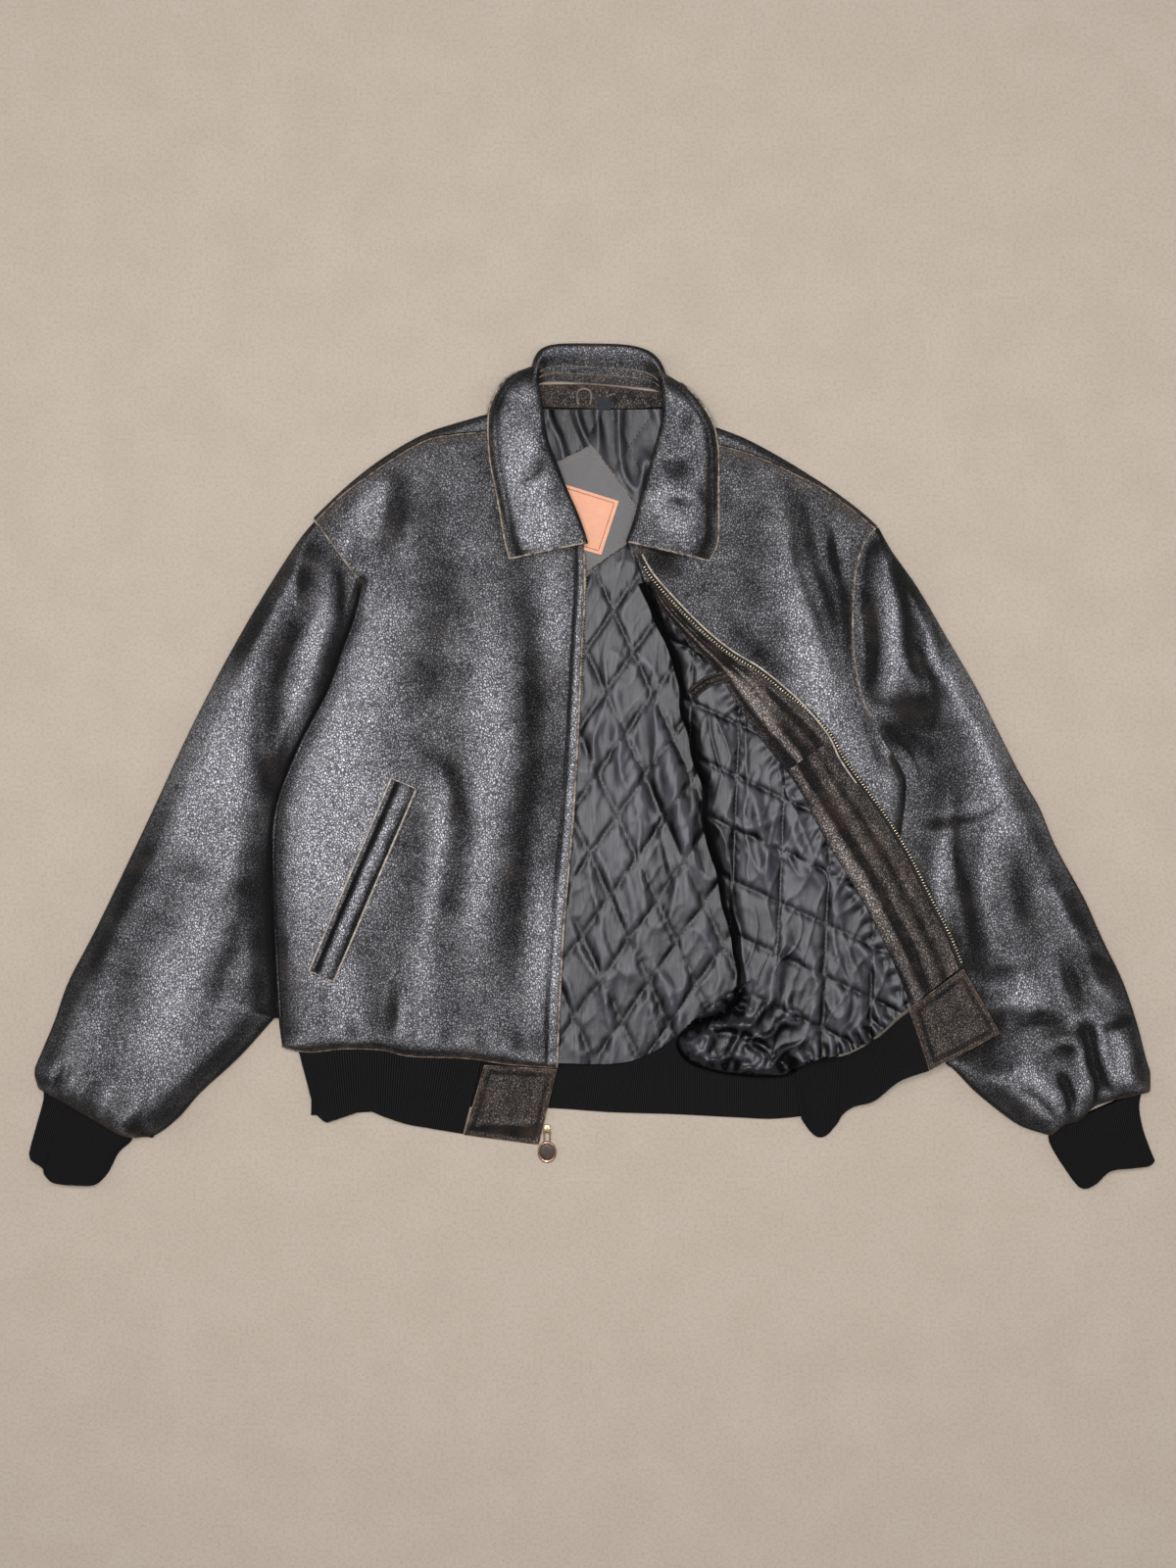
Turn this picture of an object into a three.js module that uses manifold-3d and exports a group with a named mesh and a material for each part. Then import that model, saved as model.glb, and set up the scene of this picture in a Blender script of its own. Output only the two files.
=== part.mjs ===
// A worn leather bomber jacket laid on its back, with its left front turned open.
// Millimetres. +Z is up from the floor, +Y points to the collar, +X to the wearer's left.
import * as THREE from "three";
import { mergeVertices } from "three/addons/utils/BufferGeometryUtils.js";
import Module from "manifold-3d";

const wasm = await Module();
wasm.setup();

// Cloth thicknesses and the gap kept at every seam
const LEATHER = 1.4;
const LINING = 1.5;
const KNIT = 2.4;
const COLLAR_CLOTH = 2.4;
const SEAM = 0.3;

// Heights of the stacked layers above the floor
const LINING_BASE = LEATHER + SEAM;
const QUILT_PUFF = 3.6;
const SHOULDER_TOP = 12.5;
const FRONT_TOP = 20;
const CHEST_TOP = 15.5;
const SLEEVE_TOP = 34;
const SIDE_EDGE = LEATHER + 1.3;
const CHEST_SIDE_EDGE = SIDE_EDGE + 0.5;
const HEM_EDGE = 8.6;
const CHEST_HEM_EDGE = HEM_EDGE - 3;
const FRONT_EDGE = 15;
const FOLD_LOW = 11.5;
const FOLD_BEND_DEG = [-60, -20, 20, 60];
const TURNED_LOW = 17;
const TURNED_RISE = 10;
const TURNED_OVER_SLEEVE = { x: [270, 395], y: [-240, -40] };

// Edges, cuffs and zip
const SHOULDER_ROLL = 11;
const CUFF_TOP = 10.8;
const CUFF_ROLL = 14;
const ZIP_WIDTH = [5, 11];
const ZIP_CROSSING = [0.3, 0.6];
const ZIP_MARGIN = 0.5;
const RIGHT_ZIP = { from: 0.065, to: 0.95, inset: 1.5, width: 9 };

const EDGE_BLEND = 6;
const EDGE_CALM = 0.25;
const FOLD_FADE = 0.12;
const FOLD_STEPS = 24;
const SLEEVE_GAP = 1.2;
const UNDERARM_GAP = 2.8;
const STRIP_GAP = 0.8;
const SLEEVE_END = 13;
const UNDER_END = 0.955;
const FACING = 1.2;
const LINING_RIM = 7.6;
const LINING_ROLL = 7;
const LINING_CLEARANCE = 0.9;
const LINING_COLUMNS = [
  0, 0.02, 0.045, 0.08, 0.13, 0.19, 0.25, 0.31, 0.38, 0.45, 0.52, 0.59, 0.66, 0.74, 0.82, 0.91, 1,
];
const NECK_FACING_TOP = 7.2;
const LOOP_STRAP = 2.6;
const LOOP_STEPS = 18;
const WOVEN = 0.8;
const TAB = 3;
const PATCH = 1.2;
const ZIP_CLOTH = 2.2;
const SLIDER_HEIGHT = 3.4;
const SLIDER_AT = [-43.4, -352, 0.8];
const SLIDER_OUTLINE = [[-2.6, 5], [2.6, 5], [3.4, 1], [2.4, -3], [-2.4, -3], [-3.4, 1]];
const SLIDER_BRIDGE = [[2.6, -0.6], [2.5, 1.6], [1.3, 3], [-0.7, 3], [-1.9, 1.6], [-2, -0.6]];
const BRIDGE_WIRE = 0.6;
const BRIDGE_STEPS = 14;
const BRIDGE_SIDES = 8;
const HINGE_OVER_SLIDER = [0.3, 1.4];
const PULL_SLOPE = 0.12;
const PULL_BAR = { radius: 0.7, length: 5.4, sides: 12 };
const PULL_ARM = 14;
const PULL_ARM_SECTION = [1.2, 1.4];
const PULL_ARM_OFFSET = 2.7;
const PULL_OVERLAP = 2.6;
const PULL_DISC = [9, 10.5];
const PULL_RIM = 1.8;
const PULL_THICKNESS = 2.4;
const PULL_RECESS = 0.1;
const PULL_SIDES = 32;

// Rib knit and quilting
const RIB_PITCH = 2.1;
const RIB_RELIEF = 0.5;
const RIB_LOW = 0.4;
const RIB_STEP = [-358, -342];
const RIB_DROP = { height: 16, x: [205, 320] };
const CUFF_RIBS = 46;
const UNDERSIDE_STEP = 20;
const QUILT_CELL_STEPS = 3;

const QUILT_CELLS = [[-9, 9], [-9, 9]];
const BACK_QUILT = { origin: [-2, -86], first: [-26.6, -38], second: [19, -41], cells: QUILT_CELLS };
const TURNED_QUILT = { origin: [137, -60], first: [-2, -50], second: [45, -21] };

// Collar section from the neck seam to the edge: the offset out from the roll and the height,
// where it falls as a leaf and where it is tucked at the back
const COLLAR_BACK = 0.475;
const COLLAR_TUCK = [0.08, 0.2];
const COLLAR_SECTION = [
  { from: "seam", share: 0, leaf: [0, 15.4], tucked: [0, 8.6] },
  { from: "seam", share: 0.5, leaf: [0, 17], tucked: [0, 12.5] },
  { from: "seam", share: 0.9, leaf: [-0.5, 19.5], tucked: [0, 16.5] },
  { from: "roll", share: 0, leaf: [-0.5, 22.5], tucked: [3, 17] },
  { from: "roll", share: 0.03, leaf: [0, 25.5], tucked: [7.4, 13] },
  { from: "roll", share: 0.14, leaf: [0, 27], tucked: [7.4, 6] },
  { from: "roll", share: 0.4, leaf: [0, 24.5], tucked: [0, 0.6] },
  { from: "roll", share: 0.75, leaf: [0, 19.5], tucked: [0, 0.2], rests: true },
  { from: "roll", share: 1, leaf: [0, 15.6], tucked: [0, 0.2], rests: true },
];

// How finely curves are followed
const NORMAL_STEP = 0.004;
const COLLAR_STEPS = 30;
const COLLAR_NORMAL_STEP = 0.01;
const ZIP_STEPS = { left: 34, right: 18 };

const { smoothstep, lerp, clamp } = THREE.MathUtils;
const PI = Math.PI;

// Plan outlines of the pieces, as the points that their curves pass through
const RIGHT_SHOULDER_SEAM = [
  [-267, 237], [-240, 263], [-201, 291], [-162, 314], [-134, 320], [-101, 323],
];
const RIGHT_SHOULDER_FOLD = [
  [-268, 240], [-240, 267], [-212, 290], [-180, 311], [-153, 324], [-124, 333], [-100, 340],
];
const RIGHT_NECK = [[-101, 323], [-76, 285], [-45, 243], [-8, 215]];
const RIGHT_FRONT_EDGE = [
  [-8, 215], [-7, 169], [-10, 111], [-14, 21], [-19, -59], [-28, -165], [-34, -291],
];
const RIGHT_HEM = [
  [-300, -271], [-274, -276], [-241, -273], [-204, -274], [-175, -280], [-122, -282], [-79, -288],
  [-34, -291],
];
const RIGHT_ARMHOLE = [[-267, 237], [-245, 208], [-223, 178]];
const RIGHT_SIDE = [
  [-223, 178], [-230, 146], [-242, 113], [-256, 74], [-281, 26], [-300, -18], [-308, -48], [-310, -84],
  [-308, -160], [-304, -236], [-300, -271],
];
const RIGHT_SLEEVE_OUTER = [
  [-268, 238], [-289, 211], [-336, 135], [-384, 45], [-431, -55], [-479, -155], [-506, -207],
  [-520, -246], [-532, -275], [-539, -294], [-536, -310],
];
const RIGHT_SLEEVE_HEAD = [[-246.5, 207], [-224.5, 177]];
const RIGHT_SLEEVE_LOWER = [
  [-306, -242], [-341, -281], [-380, -317], [-399, -339], [-421, -356], [-438, -359],
];
const RIGHT_CUFF_LINE = [[-536, -310], [-508, -325], [-477, -343], [-454, -356], [-438, -359]];
const RIGHT_CUFF_OUTER = [[-533, -306], [-531, -321], [-539, -351], [-545, -374], [-544, -380]];
const RIGHT_CUFF_END = [
  [-544, -380], [-530, -388], [-527, -396], [-517, -403], [-486, -405], [-477, -403],
];
const RIGHT_CUFF_INNER = [[-444, -354], [-446, -363], [-458, -374], [-468, -393], [-477, -403]];
const LEFT_SHOULDER_SEAM = [
  [122, 310], [148, 303], [174, 293], [200, 280], [225, 267], [251, 248], [273, 230],
];
const LEFT_SHOULDER_FOLD = [
  [120, 327], [148, 316], [180, 299], [208, 282], [234, 265], [258, 247], [275, 232],
];
const LEFT_NECK = [[42, 207], [62, 235], [96, 275], [122, 310]];
const LEFT_ARMHOLE = [
  [273, 230], [263, 217], [256, 198], [252, 171], [251, 134], [253, 101], [260, 67], [270, 45],
  [284, 20], [294, 8],
];
const LEFT_SIDE = [[294, 8], [302.5, -9], [304, -26], [299, -68], [293, -110], [285, -160], [272, -268]];
const LEFT_SLEEVE_OUTER = [
  [278, 230], [291, 207], [315, 173], [345, 122], [373, 74], [394, 32], [414, -7], [433, -40],
  [449, -78], [476, -127], [495, -169], [513, -206], [527, -247], [536, -282], [540, -296], [540, -314],
];
const LEFT_SLEEVE_LOWER = [
  [306, -27], [301.2, -68], [299.5, -110], [306, -170], [322, -245], [341, -285], [351, -294],
  [370, -314], [398, -337], [417, -349], [442, -357],
];
const LEFT_UNDERARM = [305.5, -8];
const LEFT_CUFF_LINE = [[540, -314], [504, -322], [485, -328], [471, -341], [456, -346], [442, -357]];
const LEFT_CUFF_OUTER = [[533, -312], [530, -330], [534, -352], [542, -374], [545, -381]];
const LEFT_CUFF_END = [
  [545, -381], [538, -386], [523, -388], [501, -391], [487, -403], [477, -408], [471, -407],
];
const LEFT_CUFF_INNER = [[446, -350], [442, -360], [448, -374], [463, -397], [471, -407]];
const ZIP_LINE = [
  [49, 204], [60, 185], [84, 158], [110, 132], [135, 112], [161, 96], [183, 79], [207, 58], [231, 31],
  [243, 9], [264, -20], [284, -48], [305, -82], [326, -124], [346, -164], [357, -192],
];
const FOLD_EDGE = [
  [46.5, 176], [61, 142], [79, 96], [88, 44], [103, -17], [111, -71], [126, -132], [136, -183],
  [141, -222],
];
const LEATHER_FOLD = [
  [42, 207], [53, 176], [69, 142], [88, 96], [98, 44], [113, -17], [122, -71], [139, -132], [154, -183],
  [170, -235], [182, -284],
];
const CHEST_HEM = [222, -276];
const TURNED_HEM = [[212, -278], [246, -271], [276, -253], [307, -227], [347, -197]];
const TURNED_TOP = [43, 203];
const FOLD_LOBE = [
  [141, -222], [126, -237], [96, -248], [83, -266], [93, -287], [134, -298], [182, -300], [196, -293],
];
const LEFT_LINING_HEM = [[196, -293], [212, -281], [246, -275], [276, -257], [292, -242], [306, -230.8]];
const FACING_EDGE = [
  [55, 178], [66, 152], [86, 129], [113, 99], [128, 79], [144, 53], [166, 22], [198, -20], [225, -71],
  [255, -120], [285, -178], [306.5, -230],
];
const FACING_START = 0.07;
const FACING_JOIN = 0.47;
const FACING_PART = 0.001;
const LEFT_TAB = [[305, -232.6], [356, -194.5], [391, -256], [324.4, -292]];
const RIGHT_TAB = [[-104, -289], [-34, -293], [-51.5, -366.5], [-124, -357]];
const TAB_ROWS = [0, 0.35, 0.55, 0.78, 1];
const BACK_LINING_HEM = [
  [-68, -287], [-29, -287], [7, -288], [37, -285], [61, -275], [82, -262], [110, -256], [165, -262],
];
const BACK_LINING_NECK = [[-62, 240], [-78, 300], [-76, 345], [88, 345], [92, 300], [78, 240], [80, 180]];
const LINING_UNDER_FRONT = 38;
const BACK_HEM = [[-300, -271], [-150, -286], [0, -288.8], [150, -286], [272, -268]];
const BACK_NECK = [[-60, 362], [10, 366], [74, 356]];
const COLLAR_ROLL = [
  [-4, 214], [-12, 238], [-25, 268], [-35, 294], [-43, 316], [-48, 348], [-52, 374], [-48, 392],
  [-36, 400], [0, 401], [38, 399], [57, 390], [66, 372], [68, 350], [66, 328], [59, 302], [52, 276],
  [45, 252], [40, 235], [33, 215],
];
const COLLAR_EDGE = [
  [-79, 199], [-84, 218], [-90, 252], [-98, 294], [-100, 328], [-97, 350], [-83, 373], [-60, 386],
  [-36, 378], [0, 376], [38, 374], [74, 376], [95, 362], [115, 334], [121, 310], [122, 294], [122, 262],
  [122, 235], [121, 215], [113, 197],
];
const COLLAR_SEAM = [
  [-14, 219], [-23, 243], [-37, 272], [-47, 297], [-54, 318], [-57, 344], [-56, 360], [-52, 369],
  [-36, 372], [0, 370], [38, 367], [60, 364], [71, 354], [76, 340], [76, 326], [70, 304], [63, 280],
  [56, 256], [50, 240], [43, 221],
];
const NECK_FACING_LOW = [[-54, 348], [-16, 346.5], [35, 346], [72, 348]];
const NECK_FACING_HIGH = [[-54, 368.8], [0, 368.8], [66, 361.5]];
const NECK_PATCH = [[-38, 292], [0, 311], [45, 250], [52, 238], [31, 212], [-8, 186], [-52, 250]];
const LABEL = [[-38, 276], [26, 256], [9, 204], [-52, 222]];
const SIZE_LABEL = [[5, 357], [18, 356.5], [18, 344.5], [5, 345]];
const HANGER_LOOP = [
  [-13, 349], [-14.5, 357], [-13, 362.5], [-7.5, 364.5], [-2, 362.5], [-0.5, 357], [-2, 349],
];
const POCKET_TOP = [-181, -17];
const POCKET_BOTTOM = [-260, -201.5];
const POCKET_WIDTH = 24;
const POCKET_RIM = 0.35;
const POCKET_CLEARANCE = 0.9;
const WELT = { share: 0.62, thickness: 3.2 };
const JET = { from: 0.76, thickness: 1.6 };
const INNER_WELT = { path: [[133, 82], [112, 75], [99, 64]], width: 11, clearance: 0.7, steps: 8 };
const BACK_RIBS_SHOWN = [0.43, 0.95];
const RIGHT_RIB_HIGH = [[-285, -270], [-240, -268], [-175, -274], [-105.5, -278]];
const LEFT_RIB_HIGH = [[197, -296], [214, -284.5], [247, -279], [277, -261], [293, -246], [305, -236]];
const BACK_RIB_LOW = [
  [-272, -338], [-120, -330], [-42, -331], [19, -335], [79, -337], [140, -340], [182, -341],
  [236, -334],
];
const RIGHT_RIB_LOW = [
  [-268, -335], [-258, -344], [-251, -343], [-233, -337], [-218, -333], [-201, -339], [-180, -346],
  [-159, -350], [-124.5, -356],
];
const LEFT_RIB_LOW = [
  [203, -340], [211, -353], [219, -359], [227, -357], [236, -347], [242, -337], [253, -329],
  [272, -323], [291, -307], [303, -300], [324, -292.5],
];

// Main folds in the leather: a path, a half width and a height, up or down
const RIGHT_FRONT_FOLDS = [
  { path: [[-203, 278], [-205, 250], [-214, 215]], width: 13, height: 4.5 },
  { path: [[-190, 285], [-190, 235], [-206, 190]], width: 11, height: -3.5 },
  { path: [[-152, 0], [-156, -60], [-150, -130]], width: 14, height: -4 },
  { path: [[-126, -20], [-124, -120], [-130, -270]], width: 18, height: 3.5 },
  { path: [[-82, 20], [-84, -120], [-92, -280]], width: 18, height: -3.5 },
  { path: [[-52, 90], [-54, -60], [-62, -270]], width: 16, height: 2.5 },
];
const CHEST_FOLDS = [
  { path: [[189, 288], [196, 240], [212, 185], [240, 120], [262, 60]], width: 12, height: -4.5 },
  { path: [[214, 262], [222, 215], [238, 160]], width: 12, height: 2.5 },
];
const RIGHT_SLEEVE_FOLDS = [
  { path: [[-256, 200], [-256, 150], [-278, 70], [-302, 0]], width: 11, height: 5 },
  { path: [[-285, 165], [-300, 90], [-312, 10], [-306, -50]], width: 13, height: -7 },
  { path: [[-330, -70], [-390, -140], [-430, -230]], width: 24, height: 3 },
  { path: [[-335, -150], [-390, -230], [-420, -300]], width: 20, height: -3 },
  { path: [[-500, -318], [-488, -280]], width: 7, height: 2.5 },
  { path: [[-474, -334], [-462, -300]], width: 7, height: 2.5 },
];
const LEFT_SLEEVE_FOLDS = [
  { path: [[271, 212], [284, 150], [286, 70]], width: 11, height: 5 },
  { path: [[290, 195], [308, 130], [326, 70], [322, 20]], width: 12, height: -6 },
  { path: [[310, 165], [334, 100], [345, 40]], width: 12, height: 3 },
  { path: [[330, -42], [380, -50], [430, -60]], width: 9, height: -2.5 },
  { path: [[478, -180], [500, -195], [520, -212]], width: 8, height: -3 },
  { path: [[455, -232], [478, -248], [484, -300]], width: 9, height: -6 },
  { path: [[420, -262], [452, -262], [474, -290], [480, -318]], width: 10, height: 4 },
  { path: [[500, -315], [498, -280], [505, -250]], width: 9, height: 4 },
  { path: [[430, -300], [448, -325], [458, -340]], width: 7, height: 3 },
];

// A smooth plan curve through a list of points, sampled by length
function spline(points) {
  const curve = new THREE.SplineCurve(points.map(([x, y]) => new THREE.Vector2(x, y)));
  curve.arcLengthDivisions = 300;
  return { at: (t) => curve.getPointAt(clamp(t, 0, 1)), length: curve.getLength() };
}

// Several curves joined end to end, with a corner at each join
function chain(...curves) {
  const length = curves.reduce((sum, c) => sum + c.length, 0);
  const at = (t) => {
    let rest = clamp(t, 0, 1) * length;
    for (const c of curves) {
      if (rest <= c.length) return c.at(rest / c.length);
      rest -= c.length;
    }
    return curves.at(-1).at(1);
  };
  return { at, length };
}

// Plan points along several curves that close a loop
function sampled(curves) {
  const along = ([curve, steps]) => Array.from({ length: steps }, (_, i) => curve.at(i / steps).toArray());
  return curves.flatMap(along);
}

// A stretch of a curve, or the curve run backwards
function part(curve, from, to) {
  return { at: (t) => curve.at(lerp(from, to, t)), length: curve.length * Math.abs(to - from) };
}

// The left-hand normal of a curve, and a curve that runs beside it
function normalAt(curve, t) {
  const ahead = curve.at(Math.min(t + NORMAL_STEP, 1)).clone();
  const d = ahead.sub(curve.at(Math.max(t - NORMAL_STEP, 0))).normalize();
  return new THREE.Vector2(-d.y, d.x);
}

function beside(curve, distance) {
  const far = typeof distance === "function" ? distance : () => distance;
  const at = (t) => curve.at(t).clone().addScaledVector(normalAt(curve, t), -far(t));
  return { at, length: curve.length };
}

// A patch stretched between four plan curves: u runs left to right, v from top to bottom
function patch(top, bottom, left, right) {
  const [a, b, c, d] = [top.at(0), top.at(1), bottom.at(0), bottom.at(1)];
  return (u, v) => {
    const [t, w, l, r] = [top.at(u), bottom.at(u), left.at(v), right.at(v)];
    const mix = (k) =>
      (1 - v) * t[k] + v * w[k] + (1 - u) * l[k] + u * r[k] -
      ((1 - u) * (1 - v) * a[k] + u * (1 - v) * b[k] + (1 - u) * v * c[k] + u * v * d[k]);
    return [mix("x"), mix("y")];
  };
}

// The shortest distance from a plan point to a curve
function distanceTo(curve, steps = 90) {
  const points = Array.from({ length: steps + 1 }, (_, i) => curve.at(i / steps));
  return (x, y) => {
    let best = Infinity;
    for (let i = 0; i < steps; i++) {
      const [p, q] = [points[i], points[i + 1]];
      const [dx, dy] = [q.x - p.x, q.y - p.y];
      const t = clamp(((x - p.x) * dx + (y - p.y) * dy) / (dx * dx + dy * dy || 1), 0, 1);
      best = Math.min(best, Math.hypot(x - p.x - t * dx, y - p.y - t * dy));
    }
    return best;
  };
}

// The height that a list of folds adds at a plan point, fading out at both ends of each fold
function foldHeight(folds) {
  const made = folds.map((f) => {
    const curve = spline(f.path);
    const points = Array.from({ length: FOLD_STEPS + 1 }, (_, i) => curve.at(i / FOLD_STEPS));
    return { ...f, points };
  });
  return (x, y) => {
    let sum = 0;
    for (const f of made) {
      let [best, where] = [Infinity, 0];
      f.points.forEach((p, i) => {
        const d = Math.hypot(x - p.x, y - p.y);
        if (d < best) [best, where] = [d, i / FOLD_STEPS];
      });
      if (best > 3 * f.width) continue;
      const ends = Math.sin(PI * clamp(where, FOLD_FADE, 1 - FOLD_FADE));
      sum += f.height * Math.exp(-((best / f.width) ** 2)) * ends;
    }
    return sum;
  };
}

// Edge profiles: 0 at the edge and 1 from the given width inwards
const rolled = (distance, width) => Math.sqrt(1 - (1 - Math.min(distance / width, 1)) ** 2);
const eased = (distance, width) => smoothstep(distance, 0, width);

// A puffed cloth: a level top that comes down to each edge's own height
function puffed(top, edges, folds) {
  const distances = edges.map((e) => distanceTo(e.curve));
  const wrinkles = foldHeight(folds);
  const lowest = Math.min(...edges.map((e) => e.height));
  return (x, y) => {
    let sum = 0;
    let calm = 1;
    edges.forEach((e, i) => {
      const share = e.profile(distances[i](x, y), e.width);
      sum += ((top - e.height) * (1 - share)) ** EDGE_BLEND;
      calm *= lerp(EDGE_CALM, 1, share);
    });
    return Math.max(top - sum ** (1 / EDGE_BLEND) + wrinkles(x, y) * calm, lowest);
  };
}

// Numbers from 0 to 1, closer together near both ends
function spaced(steps, bunching = 0.6) {
  return Array.from({ length: steps + 1 }, (_, i) => {
    const t = i / steps;
    return lerp(t, (1 - Math.cos(PI * t)) / 2, bunching);
  });
}

// A grid of surface points over a plan patch
function surface(plan, height, us, vs) {
  return vs.map((v) =>
    us.map((u) => {
      const [x, y] = plan(u, v);
      return new THREE.Vector3(x, y, height(x, y, u, v));
    }),
  );
}

// The same grid moved along its normals, away from the outer side, but not below a floor
function inside(grid, thickness, floor = LEATHER + SEAM) {
  const last = grid.length - 1;
  return grid.map((row, i) =>
    row.map((p, j) => {
      const across = row[Math.min(j + 1, row.length - 1)].clone().sub(row[Math.max(j - 1, 0)]);
      const down = grid[Math.min(i + 1, last)][j].clone().sub(grid[Math.max(i - 1, 0)][j]);
      const moved = p.clone().addScaledVector(down.cross(across).normalize(), -thickness);
      moved.z = Math.max(moved.z, floor);
      return moved;
    }),
  );
}

// A grid moved straight down
const lowered = (grid, drop) => grid.map((row) => row.map((p) => new THREE.Vector3(p.x, p.y, p.z - drop)));

// A closed wall between an outer and an inner grid. Their rows match, and their columns may differ
// in number: a point's own t, if it has one, says how far along its row it lies.
function wall(outer, inner, { closed = false } = {}) {
  const points = [];
  const faces = [];
  const add = (grid) =>
    grid.map((row) => {
      const made = row.map((p) => points.push(p) - 1);
      if (closed) made.push(made[0]);
      return made;
    });
  const skin = (ids, flip) => {
    for (let i = 0; i + 1 < ids.length; i++)
      for (let j = 0; j + 1 < ids[i].length; j++) {
        const [a, b, c, d] = [ids[i][j], ids[i][j + 1], ids[i + 1][j + 1], ids[i + 1][j]];
        faces.push(...(flip ? [[a, c, d], [a, b, c]] : [[a, d, c], [a, c, b]]));
      }
  };
  const along = (ids, i) => points[ids[i]].t ?? i / (ids.length - 1);
  const seam = (first, second, flip) => {
    let [i, j] = [0, 0];
    while (i + 1 < first.length || j + 1 < second.length) {
      const useFirst = j + 1 >= second.length ||
        (i + 1 < first.length && along(first, i + 1) <= along(second, j + 1) + 1e-9);
      const face = useFirst ? [first[i], first[i + 1], second[j]] : [first[i], second[j + 1], second[j]];
      faces.push(flip ? face.reverse() : face);
      if (useFirst) i++;
      else j++;
    }
  };
  const [o, n] = [add(outer), add(inner)];
  skin(o, false);
  skin(n, true);
  seam(o[0], n[0], false);
  seam(o.at(-1), n.at(-1), true);
  if (!closed) {
    seam(o.map((row) => row[0]), n.map((row) => row[0]), true);
    seam(o.map((row) => row.at(-1)), n.map((row) => row.at(-1)), false);
  }
  const geometry = new THREE.BufferGeometry();
  const numbers = points.flatMap((p) => [p.x, p.y, p.z]);
  geometry.setAttribute("position", new THREE.Float32BufferAttribute(numbers, 3));
  geometry.setIndex(faces.flat());
  return geometry;
}

// Solids for joining and cutting
function toSolid(geometry) {
  const bare = geometry.clone();
  bare.deleteAttribute("normal");
  bare.deleteAttribute("uv");
  const merged = mergeVertices(bare, 1e-4);
  return new wasm.Manifold(
    new wasm.Mesh({
      numProp: 3,
      vertProperties: new Float32Array(merged.attributes.position.array),
      triVerts: new Uint32Array(merged.index.array),
    }),
  );
}

function toGeometry(solid) {
  const mesh = solid.getMesh();
  const geometry = new THREE.BufferGeometry();
  geometry.setAttribute("position", new THREE.Float32BufferAttribute(mesh.vertProperties, mesh.numProp));
  geometry.setIndex(new THREE.Uint32BufferAttribute(mesh.triVerts, 1));
  return geometry;
}

function outlinePrism(points, low, high) {
  const shape = new THREE.Shape(points.map(([x, y]) => new THREE.Vector2(x, y)));
  return new THREE.ExtrudeGeometry(shape, { depth: high - low, bevelEnabled: false }).translate(0, 0, low);
}

// A quilted slab: padded cells between two sets of stitched lines, over a plain underside
function quiltedSlab({ origin, first, second, cells, thickness, puff, plainUnderside }) {
  const steps = ([start, end]) => {
    const count = (end - start) * QUILT_CELL_STEPS + 1;
    return Array.from({ length: count }, (_, i) => start + i / QUILT_CELL_STEPS);
  };
  const swell = (p) => Math.sqrt(Math.abs(Math.sin(PI * p)));
  const along = (k, p, q) => origin[k] + p * first[k] + q * second[k];
  const at = (p, q, z) => new THREE.Vector3(along(0, p, q), along(1, p, q), z);
  const [ps, qs] = [steps(cells[0]), steps(cells[1])];
  const top = ps.map((p) => qs.map((q) => at(p, q, thickness + puff * swell(p) * swell(q))));
  const low = ps.map((p) => (plainUnderside ? [qs[0], qs.at(-1)] : qs).map((q) => at(p, q, 0)));
  return wall(top, low);
}

// Finishes, one for each kind of material
const finish = (color, roughness, metalness = 0) =>
  new THREE.MeshStandardMaterial({ color, roughness, metalness });
const MATERIALS = {
  shell: finish(0x29272a, 0.48),
  facing: finish(0x2a2221, 0.5),
  lining: finish(0x2b2a2e, 0.38),
  knit: finish(0x0c0b0c, 0.95),
  patch: finish(0x45413f, 0.62),
  label: finish(0xd97a4e, 0.6),
  woven: finish(0x10131c, 0.8),
  brass: finish(0x7a6238, 0.4, 1),
};

const jacket = new THREE.Group();
function addPiece(name, geometry, material, parent = jacket) {
  const mesh = new THREE.Mesh(geometry, MATERIALS[material]);
  mesh.name = name;
  parent.add(mesh);
  return mesh;
}

// Curves that several pieces share
const rightSide = chain(spline(RIGHT_ARMHOLE), spline(RIGHT_SIDE));
const rightTop = chain(spline(RIGHT_SHOULDER_SEAM), spline(RIGHT_NECK));
const rightFrontEdge = spline(RIGHT_FRONT_EDGE);
const rightHem = spline(RIGHT_HEM);
const leftSide = chain(spline(LEFT_ARMHOLE), spline(LEFT_SIDE));
const leftTop = chain(spline(LEFT_NECK), spline(LEFT_SHOULDER_SEAM));

// Right front: a puffed panel that rolls down at the side and blouses over the hem knit
const rightFrontHeight = puffed(FRONT_TOP, [
  { curve: spline(RIGHT_SIDE), height: SIDE_EDGE, width: 38, profile: rolled },
  { curve: rightHem, height: HEM_EDGE, width: 24, profile: rolled },
  { curve: rightFrontEdge, height: FRONT_EDGE, width: 70, profile: eased },
  { curve: spline(RIGHT_ARMHOLE), height: SHOULDER_TOP, width: 60, profile: eased },
  { curve: rightTop, height: SHOULDER_TOP, width: 90, profile: eased },
], RIGHT_FRONT_FOLDS);

function rightFront() {
  const plan = patch(rightTop, rightHem, rightSide, rightFrontEdge);
  const notch = spline(RIGHT_ARMHOLE).length / rightSide.length;
  const rows = [0, notch * 0.5, notch, ...spaced(17, 0.55).slice(1).map((t) => lerp(notch, 1, t))];
  const outer = surface(plan, rightFrontHeight, spaced(15, 0.7), rows);
  return wall(outer, inside(outer, LEATHER));
}

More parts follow.
